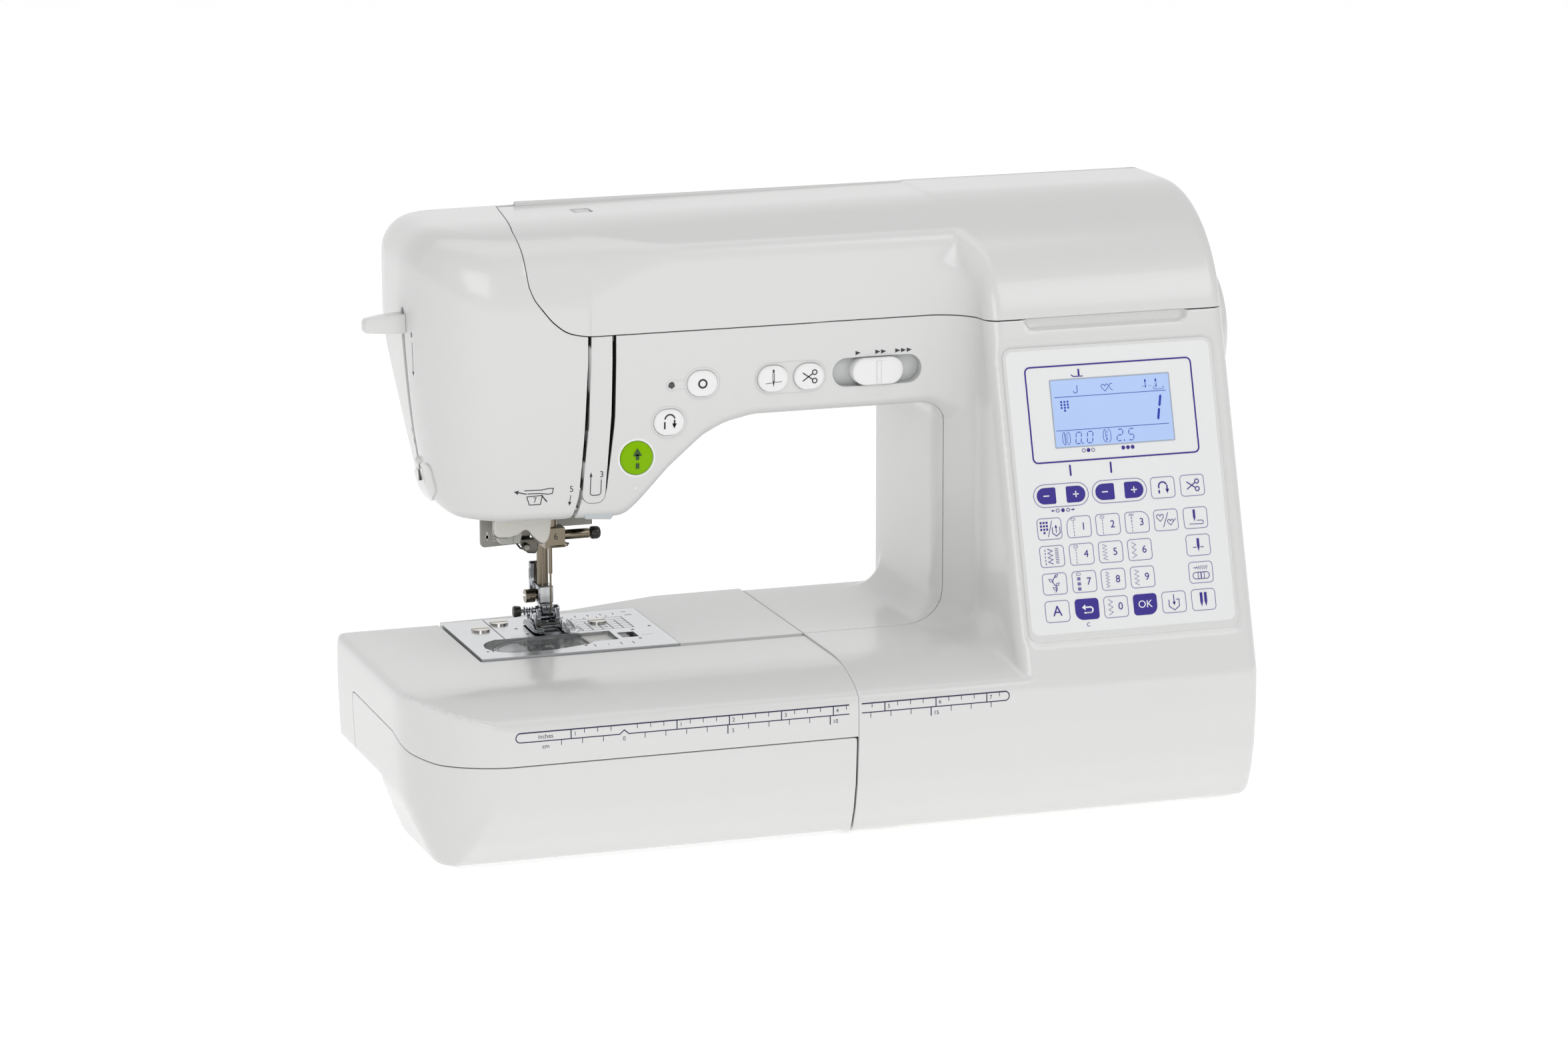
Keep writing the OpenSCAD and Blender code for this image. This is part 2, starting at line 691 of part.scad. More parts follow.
// ---- controls -------------------------------------------------------------
module oval_button(c) {
  translate([c[0], 0, c[1]]) {
    span_y(arm_y - 1, arm_y + 3.2) stadium(15, 12.5);
    span_y(arm_y + 3.3, arm_y + 4.6) stadium(17.6, 15);
    span_y(arm_y + 2, arm_y + 4) stadium(12, 10);
  }
}
module start_button() {
  placed() color([0.6, 0.85, 0.1]) {
    rod_y(arm_y - 1.4, arm_y + 4, [29, 174], 8);
    rod_y(arm_y + 3.3, arm_y + 4.6, [29, 174], 9.4);
  }
}
module reverse_button() { placed() color(cover_white) oval_button([45, 190]); }
module reinforce_button() { placed() color(cover_white) oval_button([61.5, 207.5]); }
module needle_button() { placed() color(cover_white) oval_button([96.5, 207.5]); }
module cutter_button() { placed() color(cover_white) oval_button([114.5, 207.5]); }
module speed_slider() {
  placed() color(cover_white) translate([149, 0, 208]) {
    span_y(arm_y - 3, arm_y + 6.4) stadium(26, 13);
    span_y(arm_y + 6.2, arm_y + 7.6) square([64, 17], center = true);
  }
}
module thread_strip() {
  placed() color(cover_white) {
    block([slot_x[1], arm_y, 157], [slot_x[2], arm_y + 3, lid_seam_z - 0.4]);
    block([10, arm_y + 2.9, 180], [14, 95, lid_seam_z - 4]);
  }
}

// ---- under the lid --------------------------------------------------------
module tension_dial() {
  placed() color(cover_grey) difference() {
    span_x(14, 22) translate([125, 274.5]) toothed(12.4, 36, 0.5);
    rod_x(13, 24, [125, 274.5], 2 + running);
  }
}
module spool_pin() { placed() color(cover_grey) rod_x(58, 127, [118, 256], 3 - 0.02); }
module spool_cap() {
  placed() color(cover_white) difference() {
    union() {
      rod_x(74, 77, [118, 256], 15);
      rod_x(76, 84, [118, 256], 6);
    }
    rod_x(70, 90, [118, 256], 3 + running);
  }
}
module winder_spindle() {
  placed() color(cover_white) {
    rod_z(222, 250, [290, 105], 3);
    rod_z(234.3, 237, [290, 105], 9);
  }
}

// ---- power ----------------------------------------------------------------
module power_switch() {
  placed() color(dark) {
    span_y(60, 78) polygon([[309, 51], [317, 50], [body_right + 2.5, 51],
      [body_right + 1, 57], [body_right + 1, 58], [body_right, 63.5], [317, 64], [309, 63]]);
    rod_y(58.6, 78.6, switch_axis, 1.5);
  }
}
module power_inlet() {
  placed() color(dark) difference() {
    block([306, 100, 22], [body_right, 126, 44]);
    block([308, 103, 25], [body_right + 5, 123, 41]);
  }
}

front_cover();
rear_cover();
face_cover();
lid();
top_tray();
base_plate();
feet();
free_arm_cover();
carry_handle();
table_shell();
table_door();
panel_sheet();
lcd_module();
main_board();
arm_casting();
bed_casting();
arm_shaft();
handwheel();
upper_pulley();
timing_belt();
motor();
motor_rotor();
motor_belt();
lower_shaft();
lower_pulley();
lower_gear();
hook();
bobbin_case();
bobbin();
bobbin_cover();
cover_latch();
needle_plate();
plate_screws();
feed_dog();
feed_carriage();
drop_lever();
needle_bar();
clamp_screw();
needle();
presser_bar();
foot_holder();
foot_screw();
presser_foot();
lifter_lever();
take_up_lever();
threader_lever();
threader_head();
start_button();
reverse_button();
reinforce_button();
needle_button();
cutter_button();
speed_slider();
thread_strip();
tension_dial();
spool_pin();
spool_cap();
winder_spindle();
power_switch();
power_inlet();
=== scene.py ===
import math

import bmesh
import bpy
import numpy as np
from mathutils import Matrix, Vector
from mathutils.geometry import tessellate_polygon


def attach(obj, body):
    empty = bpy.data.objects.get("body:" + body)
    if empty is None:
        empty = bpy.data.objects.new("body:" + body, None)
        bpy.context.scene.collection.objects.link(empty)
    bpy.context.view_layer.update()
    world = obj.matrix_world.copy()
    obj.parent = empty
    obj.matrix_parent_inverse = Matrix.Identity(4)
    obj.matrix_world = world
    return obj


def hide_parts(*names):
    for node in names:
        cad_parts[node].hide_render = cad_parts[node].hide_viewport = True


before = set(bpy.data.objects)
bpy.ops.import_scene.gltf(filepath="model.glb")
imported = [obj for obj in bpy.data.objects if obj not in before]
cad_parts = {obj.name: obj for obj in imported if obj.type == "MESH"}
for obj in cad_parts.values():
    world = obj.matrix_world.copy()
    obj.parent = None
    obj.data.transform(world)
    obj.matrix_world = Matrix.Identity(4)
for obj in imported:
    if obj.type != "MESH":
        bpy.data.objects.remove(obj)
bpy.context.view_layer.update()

# Everything is laid out in millimetres from the needle, as the CAD is, and moved into the frame by place().
CENTRE = np.array([117.0, 90.0, 0.0])


def place(p):
    return (np.asarray(p, float) - CENTRE) / 1000


# ---- camera, light and floor ----
def make_camera():
    cam = bpy.data.objects.new("camera", bpy.data.cameras.new("camera"))
    bpy.context.scene.collection.objects.link(cam)
    cam.data.lens = 121.6
    cam.data.sensor_width = 36
    cam.data.clip_start, cam.data.clip_end = 0.1, 50
    cam.location = place((-684.1, -2248.2, 694.6))
    yaw, down, roll = math.radians(18.694), math.radians(12.797), math.radians(-0.05)
    cam.rotation_mode = "QUATERNION"
    forward = Vector((math.sin(yaw) * math.cos(down), math.cos(yaw) * math.cos(down), -math.sin(down)))
    cam.rotation_quaternion = forward.to_track_quat("-Z", "Y") @ Matrix.Rotation(roll, 3, "Z").to_quaternion()
    bpy.context.scene.camera = cam


def area_light(name, at, target, size, power):
    data = bpy.data.lights.new(name, "AREA")
    data.shape = "RECTANGLE"
    data.size, data.size_y = size
    data.energy = power
    lamp = bpy.data.objects.new(name, data)
    bpy.context.scene.collection.objects.link(lamp)
    lamp.location = at
    lamp.rotation_mode = "QUATERNION"
    lamp.rotation_quaternion = (Vector(target) - Vector(at)).to_track_quat("-Z", "Y")


# ---- signed distance profiles, for smooth moulded shells ----
def arc(c, r, a0, a1, n=24):
    return [(c[0] + r * math.cos(math.radians(a0 + (a1 - a0) * i / n)),
             c[1] + r * math.sin(math.radians(a0 + (a1 - a0) * i / n))) for i in range(n + 1)]


def distance_to(poly, u, v):
    """Signed distance from (u, v) to a closed outline, negative inside."""
    poly = np.asarray(poly, float)
    nearest, inside = np.inf, np.zeros(np.broadcast(u, v).shape, bool)
    for a, b in zip(poly, np.roll(poly, -1, 0)):
        e = b - a
        if e @ e < 1e-12:
            continue
        wu, wv = u - a[0], v - a[1]
        t = np.clip((wu * e[0] + wv * e[1]) / (e @ e), 0, 1)
        nearest = np.minimum(nearest, (wu - e[0] * t) ** 2 + (wv - e[1] * t) ** 2)
        if e[1]:
            inside ^= ((a[1] > v) != (b[1] > v)) & (u < a[0] + wv / e[1] * e[0])
    return np.where(inside, -1, 1) * np.sqrt(nearest)


class Profile:
    """An outline's signed distance on a fine grid, with its corners softened by blur, in mm."""

    def __init__(self, poly, blur=0.0, step=0.8, margin=12.0):
        poly = np.asarray(poly, float)
        self.low, self.step = poly.min(0) - margin, step
        high = poly.max(0) + margin
        u = np.arange(self.low[0], high[0] + step, step)
        v = np.arange(self.low[1], high[1] + step, step)
        grid = distance_to(poly, u[:, None], v[None, :])
        if blur:
            reach = int(math.ceil(3 * blur / step))
            taps = np.exp(-0.5 * (np.arange(-reach, reach + 1) * step / blur) ** 2)
            taps /= taps.sum()
            for axis in (0, 1):
                wide = np.pad(grid, [(reach, reach) if k == axis else (0, 0) for k in (0, 1)], "edge")
                grid = sum(w * (wide[k:k + grid.shape[0]] if axis == 0 else wide[:, k:k + grid.shape[1]])
                           for k, w in enumerate(taps))
        self.grid = grid

    def __call__(self, u, v):
        fu, fv = (u - self.low[0]) / self.step, (v - self.low[1]) / self.step
        nu, nv = self.grid.shape
        iu = np.clip(np.floor(fu), 0, nu - 2).astype(int)
        iv = np.clip(np.floor(fv), 0, nv - 2).astype(int)
        tu, tv = np.clip(fu - iu, -40, 40), np.clip(fv - iv, -40, 40)
        g = self.grid
        return ((g[iu, iv] * (1 - tu) + g[iu + 1, iv] * tu) * (1 - tv)
                + (g[iu, iv + 1] * (1 - tu) + g[iu + 1, iv + 1] * tu) * tv)


def both(a, b, r):
    """Where a and b overlap, with the edge rounded to radius r."""
    return np.minimum(-r, np.maximum(a, b)) + np.hypot(np.maximum(a + r, 0), np.maximum(b + r, 0))


def either(a, b, r):
    """a and b joined, with the inner corner filled to radius r."""
    return np.maximum(r, np.minimum(a, b)) - np.hypot(np.maximum(r - a, 0), np.maximum(r - b, 0))


def gradient(field, x, y, z):
    """A field's slope at each point, from differences over 0.1 mm."""
    h = 0.05
    return np.stack([field(x + h, y, z) - field(x - h, y, z), field(x, y + h, z) - field(x, y - h, z),
                     field(x, y, z + h) - field(x, y, z - h)], 1) / (2 * h)


def surface(field, low, high, step):
    """The zero surface of a field as (points, quads), drawn onto the field by Newton steps."""
    axes = [np.arange(l, h + step, step) for l, h in zip(low, high)]
    f = field(axes[0][:, None, None], axes[1][None, :, None], axes[2][None, None, :])
    f = np.ascontiguousarray(np.broadcast_to(f, [len(a) for a in axes]))
    s = f < 0
    corners = [(i, j, k) for i in (0, 1) for j in (0, 1) for k in (0, 1)]
    n = [len(a) - 1 for a in axes]
    count = sum(s[i:i + n[0], j:j + n[1], k:k + n[2]].astype(np.uint8) for i, j, k in corners)
    cells = np.argwhere((count > 0) & (count < 8))
    number = np.full(n, -1, np.int64)
    number[tuple(cells.T)] = np.arange(len(cells))
    value = {c: f[tuple((cells + c).T)] for c in corners}
    total, hits = np.zeros((len(cells), 3)), np.zeros(len(cells))
    for a in corners:
        for axis in range(3):
            if a[axis]:
                continue
            b = tuple(1 if k == axis else a[k] for k in range(3))
            va, vb = value[a], value[b]
            cross = (va < 0) != (vb < 0)
            t = np.where(cross, va / np.where(cross, va - vb, 1), 0)
            at = np.tile(np.array(a, float), (len(cells), 1))
            at[:, axis] += t
            total += at * cross[:, None]
            hits += cross
    points = np.array(low) + (cells + total / hits[:, None]) * step
    quads = []
    for axis in range(3):
        o1, o2 = (axis + 1) % 3, (axis + 2) % 3
        one = np.take(s, range(0, n[axis]), axis)
        two = np.take(s, range(1, n[axis] + 1), axis)
        edge = np.argwhere(one != two)
        edge = edge[(edge[:, o1] > 0) & (edge[:, o1] < n[o1]) & (edge[:, o2] > 0) & (edge[:, o2] < n[o2])]
        out = one[tuple(edge.T)]
        ring = []
        for d1, d2 in ((-1, -1), (0, -1), (0, 0), (-1, 0)):
            c = edge.copy()
            c[:, o1] += d1
            c[:, o2] += d2
            ring.append(number[tuple(c.T)])
        ring = np.stack(ring, 1)
        quads.append(np.where(out[:, None], ring, ring[:, ::-1]))
    quads = np.concatenate(quads)
    for _ in range(4):
        x, y, z = points.T
        d, g = field(x, y, z), gradient(field, x, y, z)
        move = d[:, None] * g / np.maximum((g * g).sum(1), 0.2)[:, None]
        size = np.linalg.norm(move, axis=1, keepdims=True)
        points = points - move * np.minimum(1, 0.5 * step / np.maximum(size, 1e-9))
    return points, quads, []


def keep(shape, g):
    """The part of a surface where g(x, y, z) is below zero, cut cleanly along g = 0."""
    points, quads, odd = shape
    value = g(*points.T)
    value = np.where(np.abs(value) < 1e-4, -1e-4, value)
    inside = value[quads] < 0
    whole = quads[inside.all(1)]
    pieces = [tuple(q) for q in quads[inside.any(1) & ~inside.all(1)]] + odd
    extra, cuts, kept = [], {}, []

    def crossing(a, b):
        key = (a, b) if a < b else (b, a)
        if key not in cuts:
            a, b = key
            t = value[a] / (value[a] - value[b])
            cuts[key] = len(points) + len(extra)
            extra.append(points[a] + (points[b] - points[a]) * t)
        return cuts[key]

    for face in pieces:
        ring = []
        for a, b in zip(face, face[1:] + face[:1]):
            if value[a] < 0:
                ring.append(a)
            if (value[a] < 0) != (value[b] < 0):
                ring.append(crossing(a, b))
        if len(ring) > 2:
            kept.append(tuple(ring))
    if extra:
        points = np.concatenate([points, np.array(extra)])
    return points, whole, kept


def new_object(name, points, faces, body, material, nodes=(), smooth=True):
    used = np.unique(np.concatenate([np.asarray(f, np.int64) for f in faces])) if len(faces) else []
    renumber = np.zeros(len(points), np.int64)
    renumber[used] = np.arange(len(used))
    mesh = bpy.data.meshes.new(name)
    mesh.from_pydata(place(np.asarray(points)[used]).tolist(), [],
                     [[int(renumber[i]) for i in f] for f in faces])
    mesh.update()
    if smooth:
        mesh.shade_smooth()
    obj = bpy.data.objects.new(name, mesh)
    bpy.context.scene.collection.objects.link(obj)
    if material:
        mesh.materials.append(material)
    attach(obj, body)
    if nodes:
        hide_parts(*nodes)
    return obj


def weld(obj):
    """Joins points closer than 0.04 mm and drops what collapses."""
    gap = 0.00004
    bm = bmesh.new()
    bm.from_mesh(obj.data)
    bmesh.ops.remove_doubles(bm, verts=bm.verts, dist=gap)
    bmesh.ops.dissolve_degenerate(bm, edges=bm.edges, dist=gap)
    bm.to_mesh(obj.data)
    bm.free()


def freeze(obj, angle=35):
    """Applies the modifiers and marks edges sharper than the angle."""
    graph = bpy.context.evaluated_depsgraph_get()
    mesh = bpy.data.meshes.new_from_object(obj.evaluated_get(graph))
    obj.modifiers.clear()
    obj.data = mesh
    mesh.shade_smooth()
    mesh.set_sharp_from_angle(angle=math.radians(angle))
    return obj


def soften(obj, width, segments, angle):
    """Rounds the edges that turn by more than the angle."""
    bevel = obj.modifiers.new("edge", "BEVEL")
    bevel.width = width / 1000
    bevel.segments = segments
    bevel.limit_method = "ANGLE"
    bevel.angle_limit = math.radians(angle)


def shell(name, shape, body, material, nodes=(), wall=2.4, edge=0.3):
    """A moulded wall of even thickness behind a surface, its rim edges softened."""
    points, quads, odd = shape
    obj = new_object(name, points, [tuple(q) for q in quads.tolist()] + list(odd), body, material, nodes)
    weld(obj)
    solid = obj.modifiers.new("wall", "SOLIDIFY")
    solid.thickness = wall / 1000
    solid.offset = -1
    soften(obj, edge, 2, 55)
    return freeze(obj)


# ---- materials ----
def material(name, colour, rough=0.35, metallic=0.0, bump=0.0, scale=900.0, vary=0.02, coat=0.0,
             stretch=None, spread=0.06, **sockets):
    """Principled shader whose colour, roughness and bump come from noise in object space."""
    m = bpy.data.materials.new(name)
    m.use_nodes = True
    tree = m.node_tree
    shader = tree.nodes["Principled BSDF"]
    where = tree.nodes.new("ShaderNodeTexCoord")
    mapping = tree.nodes.new("ShaderNodeMapping")
    mapping.inputs["Scale"].default_value = stretch or (1, 1, 1)
    tree.links.new(where.outputs["Object"], mapping.inputs["Vector"])
    fine = tree.nodes.new("ShaderNodeTexNoise")
    fine.inputs["Scale"].default_value = scale
    fine.inputs["Detail"].default_value = 3
    broad = tree.nodes.new("ShaderNodeTexNoise")
    broad.inputs["Scale"].default_value = 14
    for n in (fine, broad):
        tree.links.new(mapping.outputs["Vector"], n.inputs["Vector"])
    mix = tree.nodes.new("ShaderNodeMix")
    mix.data_type = "RGBA"
    mix.inputs[6].default_value = (*[c * (1 - vary) for c in colour], 1)
    mix.inputs[7].default_value = (*[min(1, c * (1 + vary)) for c in colour], 1)
    tree.links.new(broad.outputs["Fac"], mix.inputs[0])
    tree.links.new(mix.outputs[2], shader.inputs["Base Color"])
    span = tree.nodes.new("ShaderNodeMapRange")
    span.inputs["To Min"].default_value = max(0.02, rough - spread)
    span.inputs["To Max"].default_value = rough + spread
    tree.links.new(fine.outputs["Fac"], span.inputs["Value"])
    tree.links.new(span.outputs["Result"], shader.inputs["Roughness"])
    shader.inputs["Metallic"].default_value = metallic
    shader.inputs["Coat Weight"].default_value = coat
    shader.inputs["Coat Roughness"].default_value = 0.08
    if bump:
        b = tree.nodes.new("ShaderNodeBump")
        b.inputs["Strength"].default_value = bump
        b.inputs["Distance"].default_value = 0.0001
        tree.links.new(fine.outputs["Fac"], b.inputs["Height"])
        tree.links.new(b.outputs["Normal"], shader.inputs["Normal"])
    for key, value in sockets.items():
        shader.inputs[key.replace("_", " ")].default_value = value
    return m


WHITE = material("white_abs", (0.70, 0.702, 0.695), rough=0.24, bump=0.04, coat=0.25, vary=0.01)
GREY = material("grey_abs", (0.66, 0.66, 0.64), rough=0.34, bump=0.08, vary=0.02)

# ---- body field ----
BED_Z, SEAM_Z, REAR_Y, BED_LEFT, RIGHT = 81.5, 233.0, 178.0, 113.3, 317.0
FOOT, HEAD = (-0.5, 66.0), (50.7, 233.3)           # the column's sloping front, in y and z
PANEL_X, PANEL_S = 254.5, 91.5                     # the touch panel's middle, across and up the slope
CROWN, CROWN_R = (117, 218), 68                    # the round front of the arm and lid, in y and z
rear_top = arc((150, 258), 28, 0, 90)
crown = [(49, 100), (REAR_Y, 100)] + rear_top + arc(CROWN, CROWN_R, 90, 180, 48)
skirt = [(-0.8, 48), (1, 27), (4, 14)]
bed_front = arc((40, 1.5), 80, 90, 116, 20) + arc((8.5, 66), 9, 150, 180, 6)
front_angle = 180 - math.degrees(math.acos((CROWN[0] - HEAD[0]) / CROWN_R))
column_side = [(9, 2), (REAR_Y, 2)] + rear_top + arc(CROWN, CROWN_R, 90, front_angle, 40) + [HEAD, FOOT] + skirt
bed_side = [(9, 2), (REAR_Y, 2)] + arc((REAR_Y - 6, BED_Z - 6), 6, 0, 90, 8) + bed_front + skirt
upper_front = ([(17, 145.6), (24, 146.2), (31, 152), (46, 167.5), (62, 181), (74, 187), (88, 190), (340, 190),
                (340, 291), (-50, 284.5)] + arc((-56, 264), 20, 100, 180) + [(-76, 235), (-70, 190)]
               + arc((-50, 164.5), 16, 195, 270) + [(-36, 147.2)])
head_top = (arc((-31, 119), 45, 180, 270, 40) + [(14, 74), (14, REAR_Y)] + arc((-36, 138), 40, 90, 180))
column_top = ([(195, -30), (RIGHT, -30)] + arc((RIGHT - 20, REAR_Y - 20), 20, 0, 90)
              + [(183, REAR_Y), (180.5, 84), (195, 62)])
crown_p, column_p, bed_p = Profile(crown), Profile(column_side, 1.2), Profile(bed_side, 1.5)
upper_p, head_p, plan_p = Profile(upper_front, 2.2), Profile(head_top, 1.0), Profile(column_top, 2.5)
well_p = Profile([(155.6, 295), (155.6, 268), (163, 234), (190, 234), (190, 295)], 1.0)


def rounded(cu, cv, w, h, r):
    """Distance to a rounded rectangle w by h about (cu, cv), negative inside."""
    def g(u, v):
        du, dv = np.abs(u - cu) - w / 2 + r, np.abs(v - cv) - h / 2 + r
        return np.hypot(np.maximum(du, 0), np.maximum(dv, 0)) + np.minimum(np.maximum(du, dv), 0) - r
    return g


TILT = math.atan2(HEAD[0] - FOOT[0], HEAD[1] - FOOT[1])


def slope(y, z):
    """How far a point is up the sloping front, and how far behind it."""
    return ((y - FOOT[0]) * math.sin(TILT) + (z - FOOT[1]) * math.cos(TILT),
            (y - FOOT[0]) * math.cos(TILT) - (z - FOOT[1]) * math.sin(TILT))


def ease(t):
    """A smooth step from 0 to 1."""
    t = np.clip(t, 0, 1)
    return t * t * (3 - 2 * t)


# Where the arm's front steps back towards the column, and how far in mm
sweep_p = Profile([(130, 240), (119.6, 232), (113.7, 228.7), (105.9, 224.6), (98.1, 219.8), (90.3, 213.6),
                   (84.5, 207.6), (78.6, 200.4), (72.8, 194.4), (62, 187), (62, 120), (400, 120), (400, 240)], 2)


def edge_left(z):
    """Middle of the thread slot that runs down beside the head cover."""
    return np.interp(z, [140, 149.5, 157.7, 173.8, 188.2, 204.2, 220.2, 233.4],
                     [-2.6, -1.3, 1.4, 3.1, 4.5, 5.5, 6.4, 6.6])


def edge_right(z):
    """Right-hand side of the strip beyond it."""
    return np.interp(z, [158.6, 167.3, 179.3, 195.4, 219.4, 233.4], [13.6, 14.4, 15.5, 16.9, 17.6, 17.7])


def facet(x, y, z):
    """The plane that takes off the head's rear left corner, more of it towards the bottom."""
    return -0.764 * (x + 73.9) + 0.573 * (y - 147) - 0.294 * (z - 225)


def body_field(x, y, z):
    """Signed distance to the machine without its table: head, arm, column and bed, less the well under the lid."""
    crown_d = crown_p(y, z)
    head = both(both(crown_d, head_p(x, y), 18), x - edge_left(z), 0.5)
    head = both(head, facet(x, y, z), 3)
    step = 0.7 * ease(-sweep_p(x, z) / 6 + 0.5)
    arm = both(both(crown_d, 75 + step - y, 4 + 14 * ease((50 - x) / 56)), np.maximum(-6 - x, x - 215), 0.5)
    upper = both(np.minimum(head, arm), upper_p(x, z), 5.5)
    column = both(column_p(y, z), plan_p(x, y), 7)
    up, behind = slope(y, z)
    sunk = ease(1 - (rounded(PANEL_X, PANEL_S, 111, 143, 6)(x, up) + 1) / 2)
    column = column + 0.7 * sunk * ease(3 - np.abs(behind) / 3)
    notch = np.maximum(both(rounded(255.5, 182, 83, 24.4, 5)(x, up), behind - 2.4, 1), z - SEAM_Z)
    column = both(column, -notch, 0.6)
    bed = both(bed_p(y, z), np.maximum(90 - x, x - 210), 0.5)
    arm_fillet = 0.3 + 9 * ease((-crown_d - 1) / 10)
    bed_fillet = 0.3 + 16 * ease((y - 1) / 34) * ease((176 - y) / 14) * ease((z - 60) / 15)
    body = either(either(upper, column, arm_fillet), bed, bed_fillet)
    well = both(well_p(y, z), np.abs(x - 115) - 77, 3)
    return both(body, -well, 1.2)


body = surface(body_field, (-80, -4, -3), (321, 182, 291), 1.7)


# ---- cutting the body into its covers ----
def no_hole(shape, g):
    return keep(shape, lambda x, y, z: -g(x, y, z))


def box_gap(low, high):
    """Distance outside a box, negative inside."""
    def g(x, y, z):
        parts = [np.maximum(low[k] - v, v - high[k]) for k, v in enumerate((x, y, z))]
        return np.maximum(np.maximum(parts[0], parts[1]), parts[2])
    return g


def stadium(cu, cv, w, h):
    """Distance to an oval w by h about (cu, cv), negative inside."""
    def g(u, v):
        return np.hypot(np.maximum(np.abs(u - cu) - (w - h) / 2, 0), v - cv) - h / 2
    return g


def through(g2, u, v, w, low, high):
    """A 2-D outline over two axes as a hole through a slab of the third."""
    def g(*p):
        return np.maximum(g2(p[u], p[v]), np.maximum(low - p[w], p[w] - high))
    return g


def slope_hole(g2, depth):
    """A 2-D outline on the sloping front as a hole through it."""
    def g(x, y, z):
        s, d = slope(y, z)
        return np.maximum(g2(x, s), np.abs(d) - depth)
    return g


GAP = 0.28                                  # half the width of a seam
ABOVE_TABLE = 120                           # left of the bed the covers exist only above this height
FRONT_END, REAR_START = 78.7, 79.2          # where the front and rear covers meet, front to back
BUTTONS = {"reverse": (45, 190), "reinforce": (61.5, 207.5), "needle": (96.5, 207.5), "cutter": (114.5, 207.5)}
START, LED_AT, SLIDER = (29, 174), (46.5, 207.5), (149, 208)
LID_BACK, COVER_BACK, FACE_BACK = 148.8, 152.2, 139.9

# openings, as the low and high corners of a box
DIAL_SLOT = (13.3, 119.2, 278), (22.7, 130.8, 300)
UNDER_HEAD = (-40, 98, 145), (30, 150, 158)
UNDER_BED = (BED_LEFT + 1.5, 12.5, -5), (RIGHT - 4.2, 173.6, 3.2)
THREADER_SLOT = (-90, 108.2, 158), (-55, 111.8, 246)
SWITCH_HOLE = (RIGHT - 6, 59.4, 48.8), (RIGHT + 5, 78.9, 65.2)
INLET_HOLE = (RIGHT - 6, 99.7, 21.7), (RIGHT + 5, 126.3, 44.3)
LIFTER_SLOT = (9, 149, 140), (18, 190, 188)
DROP_SLOT = (142, 170, 58), (164, 190, 68)
WHEEL_AXIS, WHEEL_HOLE = (122, 211), 9

# the lid's edge seen from the front: down the head's curve, then level over the arm and the column
lid_edge = [(-27, 420), (-26.5, 290), (-25, 280.6), (-23.5, 273.2), (-22.9, 265.2), (-22.2, 257.9), (-19.9, 252),
            (-16.4, 247.3), (-11.8, 241.5), (-6.7, 237.1), (-3.2, 235.2), (0.6, 234.2), (8, SEAM_Z),
            (420, SEAM_Z), (420, 420)]
lid_profile = Profile(lid_edge, 1.2, margin=120, step=0.8)


def lid_p(x, y, z):
    """Distance to the lid's outline, which leans to the right over the top of the head."""
    return lid_profile(x - 0.15 * np.clip(y - 91, 0, 60) * ease((z - 279) / 4), z)


def head_back(z, gap=0.0):
    """Where the head cover ends at the back, further back above the lid's seam."""
    return np.where(z > SEAM_Z, COVER_BACK, FACE_BACK) + gap


def slot_right(z):
    """Right-hand side of the slot the take-up lever runs in."""
    return edge_right(z) + np.interp(z, [158, 190], [0.6, 2.0])


LEVELS = np.linspace(160, 240, 17)
strip_left = [(edge_left(z) + 1.0 + 0.4 * math.exp(-((z - 191) / 8) ** 2), z) for z in LEVELS[::-1]]
strip_outline = (strip_left + arc((6.6, 158), 4.2, 180, 270, 6) + arc((9.4, 158), 4.2, 270, 360, 6)
                 + [(edge_right(z), z) for z in LEVELS])
slot_outline = ([(-60, 240), (-60, 157.2), (1.6, 157.2), (2.2, 155.2)] + arc((6.6, 158), 4.5, 205, 270, 5)
                + arc((9.4, 158), 4.5, 270, 360, 6) + [(slot_right(z), z) for z in LEVELS])
strip_p, slot_p = Profile(strip_outline, step=0.4), Profile(slot_outline, step=0.5)

lid = keep(keep(body, lambda x, y, z: lid_p(x, y, z) + GAP), lambda x, y, z: y - LID_BACK)
lid = no_hole(lid, box_gap(*DIAL_SLOT))
lower = no_hole(body, lambda x, y, z: np.maximum(lid_p(x, y, z) - GAP, y - COVER_BACK))
lower = no_hole(no_hole(lower, box_gap(*UNDER_HEAD)), box_gap(*UNDER_BED))

face = keep(lower, lambda x, y, z: x - edge_left(z) + 1.0)
face = keep(keep(face, lambda x, y, z: ABOVE_TABLE - z), lambda x, y, z: y - head_back(z))
face = no_hole(face, box_gap(*THREADER_SLOT))

front = keep(no_hole(lower, lambda x, y, z: slot_p(x, z)), lambda x, y, z: y - FRONT_END)
front = keep(front, lambda x, y, z: edge_left(z) + 1.4 - x)
front = keep(front, lambda x, y, z: np.minimum(BED_LEFT - x, ABOVE_TABLE - z))
for at, w, h in ([(START, 16.4, 16.4)] + [(at, 15.4, 12.9) for at in BUTTONS.values()]
                 + [(LED_AT, 3.6, 3.6), (SLIDER, 45, 14)]):
    front = no_hole(front, through(stadium(*at, w, h), 0, 2, 1, 70, 82))
front = no_hole(front, slope_hole(rounded(PANEL_X, PANEL_S, 105.4, 137.6, 4), 6))
front = no_hole(front, box_gap(*SWITCH_HOLE))

